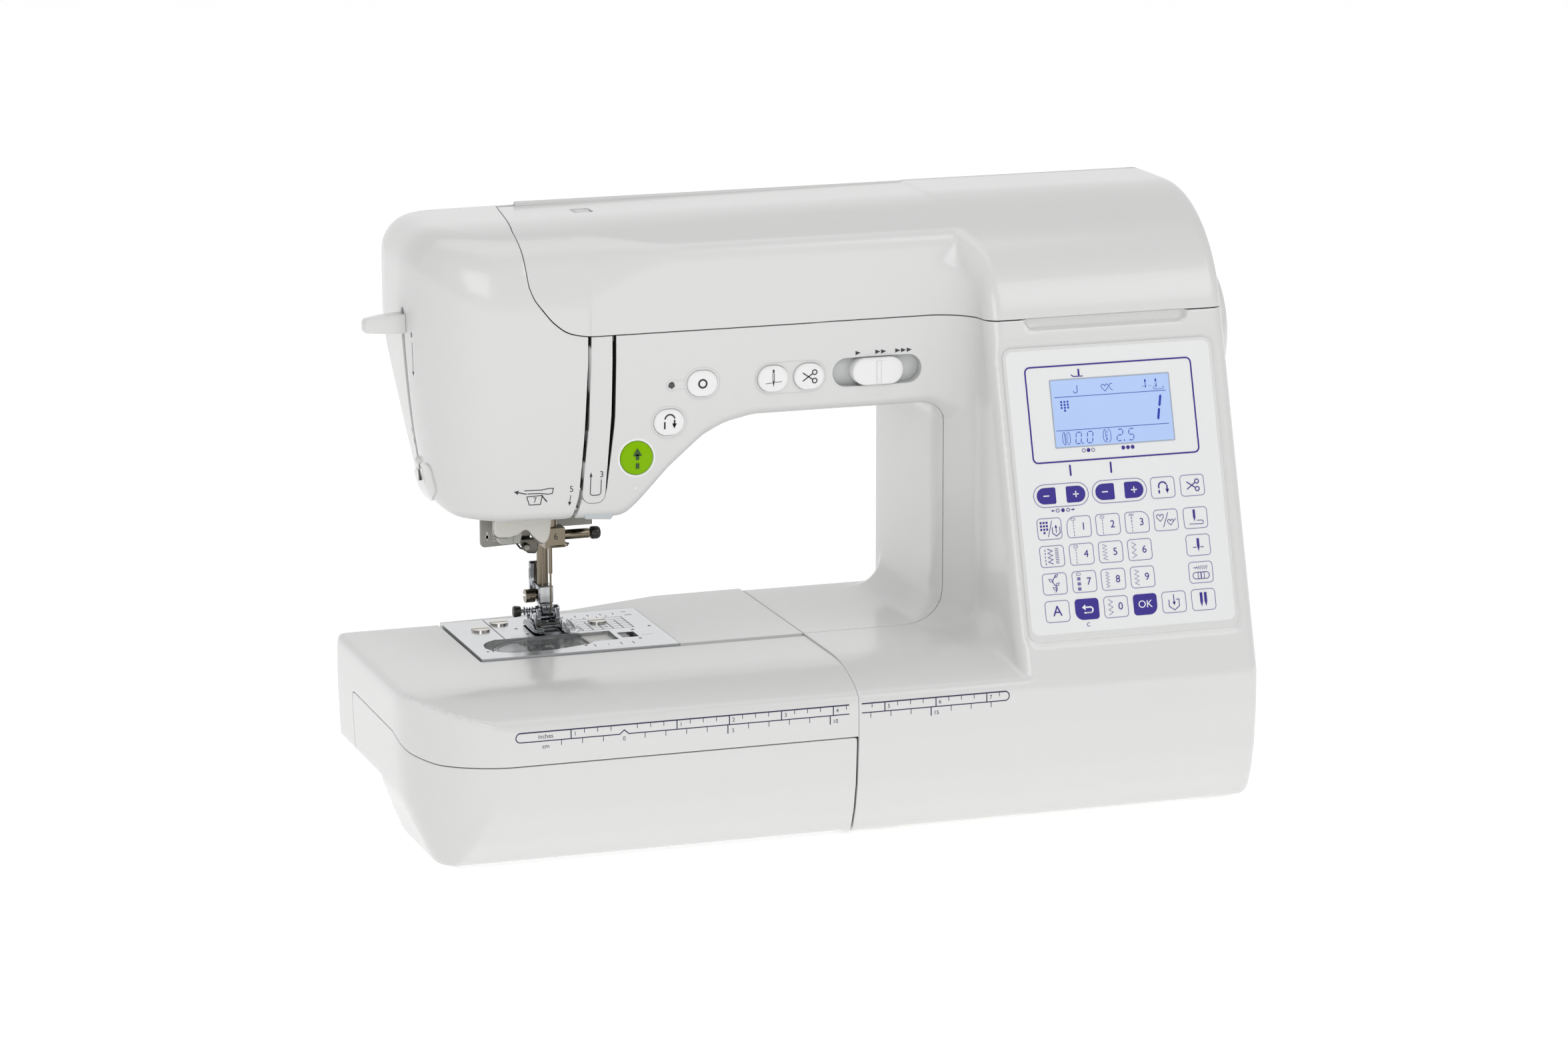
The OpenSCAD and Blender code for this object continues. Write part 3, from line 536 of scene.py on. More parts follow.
rear = no_hole(lower, lambda x, y, z: y - REAR_START)
rear = no_hole(rear, lambda x, y, z: np.maximum(np.maximum(x - 19.4, y - head_back(z, 0.05)), 100 - z))
rear = keep(rear, lambda x, y, z: np.minimum(BED_LEFT - x, ABOVE_TABLE - z))
for corners in (LIFTER_SLOT, DROP_SLOT, INLET_HOLE):
    rear = no_hole(rear, box_gap(*corners))
rear = no_hole(rear, through(lambda u, v: np.hypot(u - WHEEL_AXIS[0], v - WHEEL_AXIS[1]) - WHEEL_HOLE, 1, 2, 0,
                             RIGHT - 5, RIGHT + 5))

strip = keep(keep(lower, lambda x, y, z: strip_p(x, z)), lambda x, y, z: y - 90)
shell("lid_shell", lid, "top_lid", WHITE, ["lid"])
shell("head_face", face, "frame", WHITE, ["face_cover"], edge=0.12)
shell("front_shell", front, "frame", WHITE, ["front_cover"])
shell("rear_shell", rear, "frame", WHITE, ["rear_cover"], edge=0.12)
shell("thread_guide_strip", strip, "frame", WHITE, ["thread_strip"], wall=2.6, edge=0.5)

# ---- flat-bed table ----
TABLE_LEFT, TABLE_RIGHT, DOOR_TOP = -99.0, 113.05, 50.4
table_side = ([(9, 2), (75, 2), (75, 30), (158, 30), (158, BED_Z - 3.5)] + arc((154.5, BED_Z - 3.5), 3.5, 0, 90, 6)
              + bed_front + skirt)
table_top = (arc((TABLE_LEFT + 50, 49), 50, 180, 270, 40) + [(140, -1), (140, 78.7), (-46.6, 78.7), (-46.6, 158)]
             + arc((TABLE_LEFT + 8, 150), 8, 90, 180, 10))
table_end = [(-86, 2), (140, 2), (140, BED_Z), (TABLE_LEFT + 4, BED_Z), (TABLE_LEFT + 1, BED_Z - 2),
             (TABLE_LEFT, BED_Z - 6), (TABLE_LEFT, 59), (TABLE_LEFT + 2, 30), (TABLE_LEFT + 7, 16)]
side_p, top_p, end_p = Profile(table_side, 1.5), Profile(table_top, 0.4), Profile(table_end, 2.0)


def table_field(x, y, z):
    return both(both(side_p(y, z), top_p(x, y), 0.8), end_p(x, z), 2.5)


table = keep(surface(table_field, (-103, -4, -2), (126, 161, 85), 1.5), lambda x, y, z: x - TABLE_RIGHT)
# the storage door's seam: level along the front, rising round the corner to the left side
door_line = Profile([(-60, -60), (-60, DOOR_TOP), (14, DOOR_TOP), (30, 53.5), (46, 59.6), (123, 60.5), (123, -60)],
                    2.0, margin=90)


def door_zone(x, y, z, right=112.5):
    front_door = np.maximum(np.maximum(z - DOOR_TOP, x - right), y - 16)
    return np.minimum(front_door, np.maximum(door_line(y, z), x + 76))


table_body = no_hole(table, lambda x, y, z: door_zone(x, y, z, 130) - GAP)
door = keep(table, lambda x, y, z: door_zone(x, y, z) + GAP)
shell("table_cover", table_body, "table", WHITE, ["table_shell"])
shell("door_cover", door, "storage_door", WHITE, ["table_door"])


# ---- printed marks ----
def onto(points, field, lift):
    """Moves points to the surface where field is lift."""
    points = np.array(points, float)
    for _ in range(6):
        x, y, z = points.T
        d, g = field(x, y, z) - lift, gradient(field, x, y, z)
        points = points - d[:, None] * g / np.maximum((g * g).sum(1), 0.2)[:, None]
    return points


def rounded_path(u, v, w, h, r):
    """A rounded rectangle; r is one radius or four: right top, left top, left bottom, right bottom."""
    radii = [r] * 4 if np.isscalar(r) else r
    path = []
    for k, (su, sv) in enumerate(((1, 1), (-1, 1), (-1, -1), (1, -1))):
        at = (u + su * (w / 2 - radii[k]), v + sv * (h / 2 - radii[k]))
        path += arc(at, radii[k], 90 * k, 90 * k + 90, 5)
    return path


def oval(cu, cv, w, h):
    """A stadium outline, w by h."""
    r, s = h / 2, (w - h) / 2
    return arc((cu + s, cv), r, -90, 90, 14) + arc((cu - s, cv), r, 90, 270, 14)


class Print:
    """Flat strokes, fills and figures over two axes, in mm, turned into one thin piece."""

    def __init__(self):
        self.points, self.faces, self.origin, self.scale = [], [], np.zeros(2), 1.0

    def at(self, u, v, scale=1.0):
        """Places and sizes what is drawn next."""
        self.origin, self.scale = np.array([u, v], float), scale
        return self

    def add(self, points, faces):
        base = len(self.points)
        self.points += [tuple(self.origin + self.scale * np.asarray(p, float)) for p in points]
        self.faces += [tuple(base + i for i in f) for f in faces]

    def line(self, path, w=0.3, closed=False, piece=1.6):
        """A stroke of width w, cut into lengths of at most piece so that it can follow a curved surface."""
        path = [np.array(p, float) for p in path]
        if closed:
            path.append(path[0])
        dense = [path[0]]
        for a, b in zip(path, path[1:]):
            n = max(1, int(math.ceil(np.linalg.norm(b - a) * self.scale / piece)))
            dense += [a + (b - a) * (k + 1) / n for k in range(n)]
        p = np.array([q for k, q in enumerate(dense) if k == 0 or np.linalg.norm(q - dense[k - 1]) > 1e-6])
        if closed:
            p = p[:-1]
            before, after = np.roll(p, 1, 0), np.roll(p, -1, 0)
        else:
            before, after = np.vstack([p[:1] * 2 - p[1:2], p[:-1]]), np.vstack([p[1:], p[-1:] * 2 - p[-2:-1]])
        one, two = p - before, after - p
        one /= np.linalg.norm(one, axis=1, keepdims=True)
        two /= np.linalg.norm(two, axis=1, keepdims=True)
        across = np.stack([-(one + two)[:, 1], (one + two)[:, 0]], 1)
        size = np.maximum(np.linalg.norm(across, axis=1, keepdims=True), 0.6)
        across = across / size * (w / 2) * np.minimum(2 / size, 1.6)
        n = len(p)
        self.add(np.vstack([p + across, p - across]),
                 [(k, n + k, n + (k + 1) % n, (k + 1) % n) for k in range(n if closed else n - 1)])
        return self

    def fill(self, outline):
        turned = []
        for t in tessellate_polygon([[Vector((a, b, 0)) for a, b in outline]]):
            a, b, c = (np.array(outline[i], float) for i in t)
            up = (b[0] - a[0]) * (c[1] - a[1]) - (b[1] - a[1]) * (c[0] - a[0])
            turned.append(t if up > 0 else t[::-1])
        self.add(outline, turned)
        return self

    def ring(self, u, v, r, w=0.3):
        path = arc((u, v), r, 0, 360, max(8, int(r * self.scale * 10)))
        return self.line(path[:-1], w, closed=True, piece=9)

    def dot(self, u, v, r):
        return self.fill(arc((u, v), r, 0, 360, 20)[:-1])

    def box(self, u, v, w, h, r, line=0.3):
        return self.line(rounded_path(u, v, w, h, r), line, closed=True)

    def solid(self, u, v, w, h, r):
        return self.fill(rounded_path(u, v, w, h, r))

    def text(self, words, u, v, size):
        curve = bpy.data.curves.new("figures", "FONT")
        curve.body, curve.size = words, size
        curve.align_x, curve.align_y = "CENTER", "CENTER"
        curve.resolution_u = 4
        holder = bpy.data.objects.new("figures", curve)
        mesh = bpy.data.meshes.new_from_object(holder)
        self.add([(u + q.co.x, v + q.co.y) for q in mesh.vertices], [tuple(f.vertices) for f in mesh.polygons])
        bpy.data.objects.remove(holder)
        bpy.data.curves.remove(curve)
        bpy.data.meshes.remove(mesh)
        return self

    def emit(self, name, where, body, ink):
        flat = np.array(self.points)
        return new_object(name, where(flat[:, 0], flat[:, 1]), self.faces, body, ink, smooth=False)


def on_plane(axis, t):
    """Places a print on the plane where one axis is t."""
    return lambda u, v: np.insert(np.stack([u, v], 1), axis, t, axis=1)


def on_surface(field, axis, start, lift=0.07):
    """Places a print on a curved surface, found from the plane where one axis is start."""
    return lambda u, v: onto(on_plane(axis, float(start))(u, v), field, lift)


def on_panel(behind=-0.07):
    """Places a print on the sloping front, over x and the distance up the slope."""
    return lambda u, s: np.stack([u, FOOT[0] + s * math.sin(TILT) + behind * math.cos(TILT),
                                  FOOT[1] + s * math.cos(TILT) - behind * math.sin(TILT)], 1)


NAVY = material("navy_ink", (0.03, 0.015, 0.25), rough=0.45, vary=0.05)
RULE_INK = material("ruler_ink", (0.010, 0.008, 0.06), rough=0.45, vary=0.05)
NAVY_LINE = material("navy_outline", (0.16, 0.14, 0.36), rough=0.45, vary=0.05)
BLACK = material("black_ink", (0.03, 0.03, 0.035), rough=0.5, vary=0.1)
SILVER = material("key_mark", (0.85, 0.85, 0.88), rough=0.4, vary=0.02)


def arrow(pr, a, b, w=0.45, head=1.3):
    a, b = np.array(a, float), np.array(b, float)
    d = (b - a) / np.linalg.norm(b - a)
    n = np.array([-d[1], d[0]])
    pr.line([a, b - d * head * 0.6], w)
    pr.fill([tuple(b), tuple(b - d * head * 1.3 + n * head * 0.6), tuple(b - d * head * 1.3 - n * head * 0.6)])


def loop_mark(pr):
    pr.line([(-1.6, -2.2), (-1.6, -0.9)], 0.6)
    pr.line([(-1.6, -0.2)] + arc((0, 0.4), 1.7, 165, 20, 10), 0.55)
    arrow(pr, (1.75, 0.8), (1.75, -2.3), 0.5, 1.3)


def scissors_mark(pr):
    for side in (1, -1):
        pr.line([(-2.4, 1.5 * side), (1.2, -1.0 * side)], 0.4).ring(2.0, 1.5 * side, 0.85, 0.4)


def needle_mark(pr, bar=True):
    pr.fill([(-0.55, 2.8), (-0.55, -0.6), (0, -2.6), (0.55, -0.6), (0.55, 2.8)])
    if bar:
        for side in (-1, 1):
            pr.line([(0.9 * side, -0.9), (2.4 * side, -0.9)], 0.3)


def zigzag(pr, u, v, h, n, w, line=0.28):
    """A zigzag stitch of n strokes down a height h, w wide."""
    pr.line([(u + (w / 2 if i % 2 else -w / 2), v + h / 2 - h * i / n) for i in range(n + 1)], line, piece=9)


def heart_mark(pr, u, v, k):
    for side in (k, -k):
        pr.line([(u + a * side, v + b * k) for a, b in
                 ((0, -1.5), (1.5, 0.2), (1.55, 1.0), (0.9, 1.5), (0.25, 1.1), (0, 0.5))], 0.28)


# the touch panel's keys: a navy outline or a navy pad, and a mark on each
KEY_X = {1: 216.2, 2: 231.2, 3: 246.0, 4: 260.9, 5: 275.7, 6: 290.9}
ROWS = [(z - FOOT[1]) / math.cos(TILT) for z in (152.4, 137.5, 125.0, 112.5, 100.0)]
KEY_W, KEY_H, KEY_R = 12.1, 10.0, 1.7
WIDE_CORNER = {(1, 2): (1, 4.2), (1, 4): (0, 4.2), (4, 2): (2, 4.0), (4, 4): (3, 4.0)}
outline, pads, marks, pale, figure = Print(), Print(), Print(), Print(), Print()
for row, s in enumerate(ROWS):
    for col, u in KEY_X.items():
        if row == 0 and col < 5 or row in (2, 3) and col == 5:
            continue
        radii = [KEY_R] * 4
        if (row, col) in WIDE_CORNER:
            corner, radius = WIDE_CORNER[row, col]
            radii[corner] = radius
        if row == 4 and col in (2, 4):
            pads.solid(u, s, KEY_W, KEY_H, radii)
        else:
            outline.box(u, s, KEY_W, KEY_H, radii, 0.28)
for a, b in ((1, 2), (3, 4)):
    outline.box((KEY_X[a] + KEY_X[b]) / 2, ROWS[0], 27.8, 10.8, 5.35)
    for key, radii in ((a, [0.8, 3.85, 3.85, 0.8]), (b, [3.85, 0.8, 0.8, 3.85])):
        pads.solid(KEY_X[key], ROWS[0], 9.7, 7.8, radii)
        pale.solid(KEY_X[key], ROWS[0], 3.0, 0.55, 0.1)
    pale.solid(KEY_X[b], ROWS[0], 0.55, 3.0, 0.1)
for u in (229.6, 250.3):
    marks.solid(u, ROWS[0] + 11.4, 0.9, 5.4, 0.4)
loop_mark(marks.at(KEY_X[5], ROWS[0], 1.25))
scissors_mark(marks.at(KEY_X[6], ROWS[0], 1.2))
marks.at(223.9, ROWS[0] - 7.2).dot(0, 0, 0.8)
for u in (-2.6, 0, 2.6):
    marks.ring(u, 0, 0.8, 0.28)
for side in (-1, 1):
    arrow(marks, (side * 3.9, 0), (side * 6.1, 0), 0.3, 0.9)
for k, n in enumerate("123456789"):
    at = KEY_X[2 + k % 3], ROWS[1 + k // 3]
    figure.at(*at).text(n, 2.3, -0.1, 5.0)
    outline.at(*at)
    if n in "1234":
        for i in range(5):
            outline.line([(-2.7, 2.6 - 1.5 * i), (-2.7, 1.7 - 1.5 * i)], 0.5 if n == "3" and i < 2 else 0.3)
    if n in "1247":
        outline.box(-2.7, 3.7, 2.2 if n == "7" else 2.0, 1.1, 0.5, 0.22)
    if n == "3":
        outline.ring(-3.3, 3.7, 0.5, 0.2).ring(-2.1, 3.7, 0.5, 0.2)
    if n == "7":
        for i in range(3):
            outline.solid(-2.7, 1.5 - 2.4 * i, 1.7, 1.5, 0.1)
    if n in "5689":
        zigzag(outline, -2.9, 0, 7.4, {"5": 9, "6": 6, "8": 10, "9": 7}[n], 1.6 if n == "8" else 2.2)
zigzag(outline.at(KEY_X[3], ROWS[4]), -2.7, 0, 7.4, 6, 2.2)
for n, col, u, v, size in (("0", 3, 2.3, 0, 5.0), ("A", 1, 0, 0, 7.0), ("C", 2, 0, -7.4, 2.6)):
    figure.at(KEY_X[col], ROWS[4]).text(n, u, v, size)
pale.at(KEY_X[4], ROWS[4]).text("OK", 0, 0, 5.0)
pale.at(KEY_X[2], ROWS[4]).line([(2.4, -1.7), (1.0, -1.7), (-0.6, -1.7)], 0.7)
pale.line([(-1.0, 0.9), (1.6, 0.9)] + arc((1.6, -0.4), 1.3, 80, -90, 8) + [(-1.6, -1.7)], 0.7)
pale.fill([(-2.6, 0.9), (-0.8, -0.5), (-0.8, 2.3)])
marks.at(KEY_X[1], ROWS[1]).line([(-0.9, -3.8), (1.5, 3.8)], 0.3)
marks.line([(1.4, 0.6), (1.4, -2.2), (3.3, -3.6), (5.2, -2.2), (5.2, 0.6)], 0.35)
arrow(marks, (3.3, -2.0), (3.3, 1.8), 0.35, 1.1)
for i, count in enumerate((3, 4, 3)):
    for k in range(count):
        marks.solid(-4.2 + i * 1.5, 3.0 - k * 1.6, 1.0, 1.0, 0.05)
marks.at(KEY_X[5], ROWS[1]).line([(-1.6, -3.4), (1.3, 3.6)], 0.3).line([(3.6, -1.0), (5.0, 0.4)], 0.28)
heart_mark(marks, -2.9, 1.2, 1.15)
heart_mark(marks, 2.2, -1.2, 0.95)
marks.at(KEY_X[6], ROWS[1]).line([(-3.4, -2.8)] + arc((3.0, -2.2), 0.9, 270, 450, 6) + [(0.6, -1.3)], 0.3)
needle_mark(marks.at(KEY_X[6] - 0.6, ROWS[1] + 1.0, 1.05), bar=False)
zigzag(marks.at(KEY_X[1], ROWS[2]), -0.9, 0, 7.2, 7, 2.4, 0.4)
for k in range(5):
    marks.line([(-3.4, 3.4 - 1.6 * k), (-3.4, 2.5 - 1.6 * k)], 0.35)
for k in range(9):
    marks.line([(1.6, 3.5 - 0.85 * k), (3.4, 3.5 - 0.85 * k)], 0.25)
needle_mark(marks.at(KEY_X[6], ROWS[2], 1.15))
stem = [(math.sin(k * 0.9), k - 4) for k in range(9)]
marks.at(KEY_X[1], ROWS[3]).line(stem, 0.35)
for k, side in ((1, -1), (3, 1), (5, -1), (7, 1)):
    u, v = stem[k]
    marks.line([(u, v), (u + side * 1.3, v + 0.2), (u + side * 1.9, v + 1.4), (u + side * 0.6, v + 1.2)], 0.28,
               closed=True)
marks.at(KEY_X[6], ROWS[3]).box(0, -1.5, 8.4, 3.2, 1.6).box(0, -1.5, 3.2, 3.2, 0.8, 0.28)
marks.line([(-3.6 + i * 0.55, 2.3 + (0.9 if i % 2 else -0.9) * min(1, i / 6)) for i in range(14)], 0.28, piece=9)
marks.line([(0, -2.9), (0, -0.1)], 0.5)
marks.at(KEY_X[5], ROWS[4]).line([(-2.6, 1.2), (-2.6, -2.0), (0, -3.8), (2.6, -2.0), (2.6, 1.2), (1.2, 1.2)], 0.35)
arrow(marks, (0, 3.6), (0, -1.6), 0.4, 1.3)
for side in (-1, 1):
    needle_mark(marks.at(KEY_X[6] + side * 1.1, ROWS[4], 1.25), bar=False)
# the display's frame and the small marks around it
Print().box(253.85, 128.85, 84.7, 45.5, 2.4, 0.75).emit("display_frame_print", on_panel(), "frame", NAVY)
marks.at(0, 0).dot(239.8, 110.7, 0.85)
for i in range(3):
    marks.ring(237.4 + 2.4 * i, 110.7, 0.85, 0.25).dot(257.6 + 2.4 * i, 110.7, 0.95)
marks.line([(238.6, 149.6), (238.6, 146.4)], 0.9).line([(234.6, 147.0), (235.8, 146.1), (240.6, 146.1)], 0.45)
for pr, name, behind, ink in ((outline, "key_outlines_print", -0.07, NAVY_LINE), (pads, "key_pads_print", -0.07, NAVY),
                              (marks, "key_marks_print", -0.09, NAVY), (figure, "key_figures_print", -0.09, NAVY),
                              (pale, "key_pale_print", -0.13, SILVER)):
    pr.emit(name, on_panel(behind), "frame", ink)


# ---- solids by mesh code ----
class Solid:
    """Closed loops gathered into one piece, in mm, then welded, edge-softened and smoothed."""

    def __init__(self):
        self.points, self.faces = [], []

    def loops(self, rings, capped=True):
        """Joins rings one after another; the ends are capped, or joined to each other."""
        base, n = len(self.points), len(rings[0])
        for ring in rings:
            self.points += [tuple(map(float, p)) for p in ring]
        last = base + (len(rings) - 1) * n
        starts = [base + k * n for k in range(len(rings))] + ([] if capped else [base])
        for a, b in zip(starts, starts[1:]):
            self.faces += [(a + i, a + (i + 1) % n, b + (i + 1) % n, b + i) for i in range(n)]
        if capped:
            self.faces += [tuple(range(base + n - 1, base - 1, -1)), tuple(range(last, last + n))]
        return self

    def prism(self, outline, axis, low, high, chamfer=0.0):
        mid = np.mean(outline, 0)

        def at(t, inset):
            flat = [p if not inset else np.array(p) + (mid - p) * inset / max(0.1, np.linalg.norm(mid - p))
                    for p in outline]
            return [np.insert(p, axis, t) for p in flat]

        if chamfer:
            return self.loops([at(low, chamfer), at(low + chamfer, 0), at(high - chamfer, 0), at(high, chamfer)])
        return self.loops([at(low, 0), at(high, 0)])

    def box(self, low, high, r=0.0):
        """A block whose four upright corners are rounded to r."""
        (x0, y0, z0), (x1, y1, z1) = low, high
        path = [(x1, y1), (x0, y1), (x0, y0), (x1, y0)]
        if r:
            path = rounded_path((x0 + x1) / 2, (y0 + y1) / 2, x1 - x0, y1 - y0, r)
        return self.prism(path, 2, z0, z1)

    def turn(self, axis, centre, profile, n=24, closed=False):
        """Revolves (radius, distance along the axis) points about an axis through centre."""
        rings = [[np.insert([r * math.cos(a) + centre[0], r * math.sin(a) + centre[1]], axis, t)
                  for a in (2 * math.pi * k / n for k in range(n))] for r, t in profile]
        return self.loops(rings, capped=not closed)

    def wire(self, path, r, n=12):
        path = [Vector(p) for p in path]
        rings, side = [], None
        for k, p in enumerate(path):
            d = (path[min(k + 1, len(path) - 1)] - path[max(k - 1, 0)]).normalized()
            side = (side - side.dot(d) * d).normalized() if side else d.orthogonal().normalized()
            other = d.cross(side)
            rings.append([p + (side * math.cos(a) + other * math.sin(a)) * r
                          for a in (2 * math.pi * i / n for i in range(n))])
        return self.loops(rings)

    def emit(self, name, body, mat, nodes=(), slot=None, soft=0.3, segments=2, angle=40):
        obj = new_object(name, np.array(self.points), self.faces, body, mat, nodes)
        bm = bmesh.new()
        bm.from_mesh(obj.data)
        bmesh.ops.remove_doubles(bm, verts=bm.verts, dist=0.00001)
        bmesh.ops.recalc_face_normals(bm, faces=bm.faces)
        bm.to_mesh(obj.data)
        bm.free()
        if soft:
            soften(obj, soft, segments, angle)
        return freeze(obj, angle)


KEY = material("key_white", (0.84, 0.845, 0.84), rough=0.22, coat=0.3, vary=0.01, bump=0.02)
RIM = material("key_rim", (0.86, 0.865, 0.86), rough=0.25, vary=0.01)
RIM_LINE = material("rim_line", (0.55, 0.56, 0.55), rough=0.4, vary=0.03)
LIME = material("lime_lens", (0.22, 0.46, 0.0), rough=0.3, coat=0.04, vary=0.15, Specular_IOR_Level=0.08,
                Emission_Color=(0.2, 0.5, 0.0, 1), Emission_Strength=0.06)
LED = material("led_dark", (0.035, 0.035, 0.04), rough=0.15, coat=0.5)
POCKET = material("pocket_grey", (0.62, 0.63, 0.63), rough=0.3, vary=0.02, bump=0.04)

# ---- buttons and slider ----
CAP_STEPS = ((0, 79), (0, 74.7), (0.12, 74.3), (0.45, 74.05), (1.0, 73.95), (2.5, 73.97), (4.5, 74.0), (5.9, 74.0))
for key, (cu, cv) in BUTTONS.items():
    cap = Solid().loops([[(u, y, v) for u, v in oval(cu, cv, 15 - 2 * t, 12.5 - 2 * t)] for t, y in CAP_STEPS])
    cap.emit(key + "_button_cap", key + "_key", KEY, [key + "_button"], "white_key", soft=0, angle=60)
Solid().turn(1, START, [(8, 79), (8, 75.2), (7.85, 74.7), (7.4, 74.35), (6.4, 74.05), (4.5, 73.8), (2.4, 73.66),
                        (0.3, 73.62)], n=64).emit(
    "start_button_cap", "start_key", LIME, ["start_button"], "lime_key", soft=0, angle=70)
Solid().turn(1, START, [(8.2, 78), (8.2, 75.0), (8.4, 74.72), (8.8, 74.66), (9.2, 74.8), (9.5, 75.2), (9.5, 78)],
             n=64, closed=True).emit("start_button_ring", "frame", RIM, slot="white_cover", soft=0, angle=60)
Solid().turn(1, LED_AT, [(1.75, 79), (1.75, 75.6), (1.4, 75.2), (0.2, 75.1)]).emit(
    "indicator_lens", "frame", LED, slot="black_plastic", soft=0)
Solid().turn(1, (28.5, 159.5), [(0.75, 77), (0.75, 74.8), (0.5, 74.62), (0.1, 74.58)], n=20).emit(
    "start_indicator", "frame", KEY, slot="white_key", soft=0)

# speed slider: pocket, knob with its ridge, and the plate that closes the slot behind it
Solid().loops([[(u, y, v) for u, v in oval(*SLIDER, w, h)] for w, h, y in
               ((45.1, 14.1, 76.9), (45.1, 14.1, 80.9), (46.8, 15.8, 80.9), (46.8, 15.8, 76.9))], capped=False).emit(
    "slider_pocket", "frame", POCKET, slot="grey_plastic", soft=0)
knob = Solid().loops([[(u, 72.6 + lift + 1.6 * min(1.0, abs(u - SLIDER[0]) / 12.5) ** 2, v)
                       for u, v in oval(*SLIDER, 25.6 - 2 * t, 12.8 - 2 * t)] for t, lift in
                      ((0, 8.5), (0, 0.5), (0.25, 0.2), (0.8, 0.0), (1.8, 0.0), (3.2, 0.0), (4.8, 0.0), (6.2, 0.0))])
knob.prism([(150.8, 73.6), (150.1, 72.3), (149.4, 71.9), (148.6, 71.9), (147.9, 72.3), (147.2, 73.6)], 2, 202.6, 213.4)
knob.emit("speed_knob_cap", "speed_knob", KEY, ["speed_slider"], "white_key", soft=0.25, angle=50)
Solid().loops([[(u, y, v) for u, v in oval(*SLIDER, 63, 17)] for y in (81.3, 82.5)]).emit(
    "slider_plate", "speed_knob", POCKET, slot="grey_plastic", soft=0.2)

# ---- marks on the arm and head ----
on_cap = on_plane(1, 73.9)
Print().ring(*BUTTONS["reinforce"], 1.9, 0.85).emit("reinforce_mark", on_cap, "reinforce_key", BLACK)
mark = Print()
mark.line([(42.6, 187.0), (42.7, 190.4)], 0.8).line([(42.8, 191.6)] + arc((45.2, 191.4), 2.4, 165, 10, 10), 0.75)
arrow(mark, (47.5, 191.2), (47.3, 187.0), 0.8, 1.9)
mark.emit("reverse_mark", on_cap, "reverse_key", BLACK)
mark = Print().at(96.5, 207.5).fill([(-0.4, 4.5), (-0.4, 2.9), (0.5, 2.9), (0.5, 4.5)])
mark.line([(-0.3, 2.7), (-0.3, -1.1), (0, -3.3), (0.4, -1.1), (0.4, 2.7)], 0.3)
mark.fill([(-0.35, -0.9), (0.05, -4.1), (0.45, -0.9)])
mark.line([(-3.9, -2.1), (-0.6, -1.8)], 0.25).line([(0.6, -1.6), (4.1, -1.5)], 0.25)
mark.emit("needle_mark", on_cap, "needle_key", BLACK)
mark = Print().at(114.3, 207.5, 1.35)
scissors_mark(mark)
mark.emit("cutter_mark", on_cap, "cutter_key", BLACK)
mark = Print().solid(29, 170.4, 1.6, 2.6, 0.1).solid(29, 174.6, 1.6, 2.6, 0.1)
mark.fill([(29, 178.9), (26.8, 175.2), (31.2, 175.2)])
mark.emit("start_mark", on_plane(1, 73.35), "start_key", material("start_ink", (0.02, 0.07, 0.01), rough=0.3))
mark = Print()
for u in (139.3, 149.25, 152.15, 159.3, 162.2, 165.1):
    mark.fill([(u - 1.25, 218.1), (u - 1.25, 216.0), (u + 1.35, 217.05)])
mark.text("3", 11.9, 167.2, 4.2).text("5", -3.2, 161.4, 4.2).text("7", -21.0, 157.4, 3.6)
mark.line([(6.6, 166.6), (6.2, 159.2)] + arc((7.6, 159.0), 1.5, 180, 270, 6) + arc((9.9, 159.0), 1.5, 270, 360, 6)
          + [(11.7, 164.9)], 0.4)
mark.fill([(6.7, 168.6), (5.9, 166.4), (7.4, 166.4)])
arrow(mark, (-3.6, 158.6), (-4.4, 153.6), 0.35, 1.4)
arrow(mark, (-25.0, 160.6), (-31.2, 162.1), 0.5, 1.7)
mark.line([(-26.1, 162.3), (-17.9, 162.1), (-13.9, 162.6), (-12.0, 162.5), (-12.6, 160.1), (-14.6, 159.9),
           (-18.6, 160.5), (-24.6, 160.7)], 0.42)
mark.line([(-25.0, 159.3), (-17.4, 159.5), (-18.4, 155.3), (-23.8, 155.3), (-25.0, 159.3)], 0.42)
mark.line([(-17.8, 159.5), (-15.2, 156.3)], 0.6)
mark.emit("guide_marks", on_surface(body_field, 1, 75), "frame", BLACK)
rim = Print().line(oval(105.5, 207.5, 35.6, 15.1), 0.22, closed=True)
for at in (BUTTONS["reverse"], BUTTONS["reinforce"]):
    rim.line(oval(*at, 17.6, 15.1), 0.22, closed=True)
rim.line([(52.9, 209.5)] + arc(LED_AT, 2.6, 60, 300, 12) + [(52.9, 205.6)], 0.2)
rim.emit("button_rims", on_surface(body_field, 1, 75, 0.05), "frame", RIM_LINE)

# ---- display ----
SCREEN = material("display_glow", (0.42, 0.56, 0.86), rough=0.16, coat=0.5, vary=0.06,
                  Emission_Color=(0.40, 0.55, 0.9, 1), Emission_Strength=0.12)
INK = material("display_ink", (0.015, 0.035, 0.42), rough=0.3, vary=0.05)
DISPLAY, DISPLAY_W, DISPLAY_H = (253.9, 128.8), 60.2, 31.6
Print().solid(*DISPLAY, DISPLAY_W, DISPLAY_H, 0.3).emit("display_window", on_panel(-0.05), "frame", SCREEN)
Print().box(*DISPLAY, 60.9, 32.3, 0.4, 0.5).emit("display_edge", on_panel(), "frame",
                                                 material("display_edge", (0.36, 0.42, 0.52), rough=0.4))
ink = Print()


def spot(px, py):
    """Puts the pen at a place across and down the display, each 0 to 1."""
    return ink.at(223.8 + DISPLAY_W * px, 144.6 - DISPLAY_H * py)


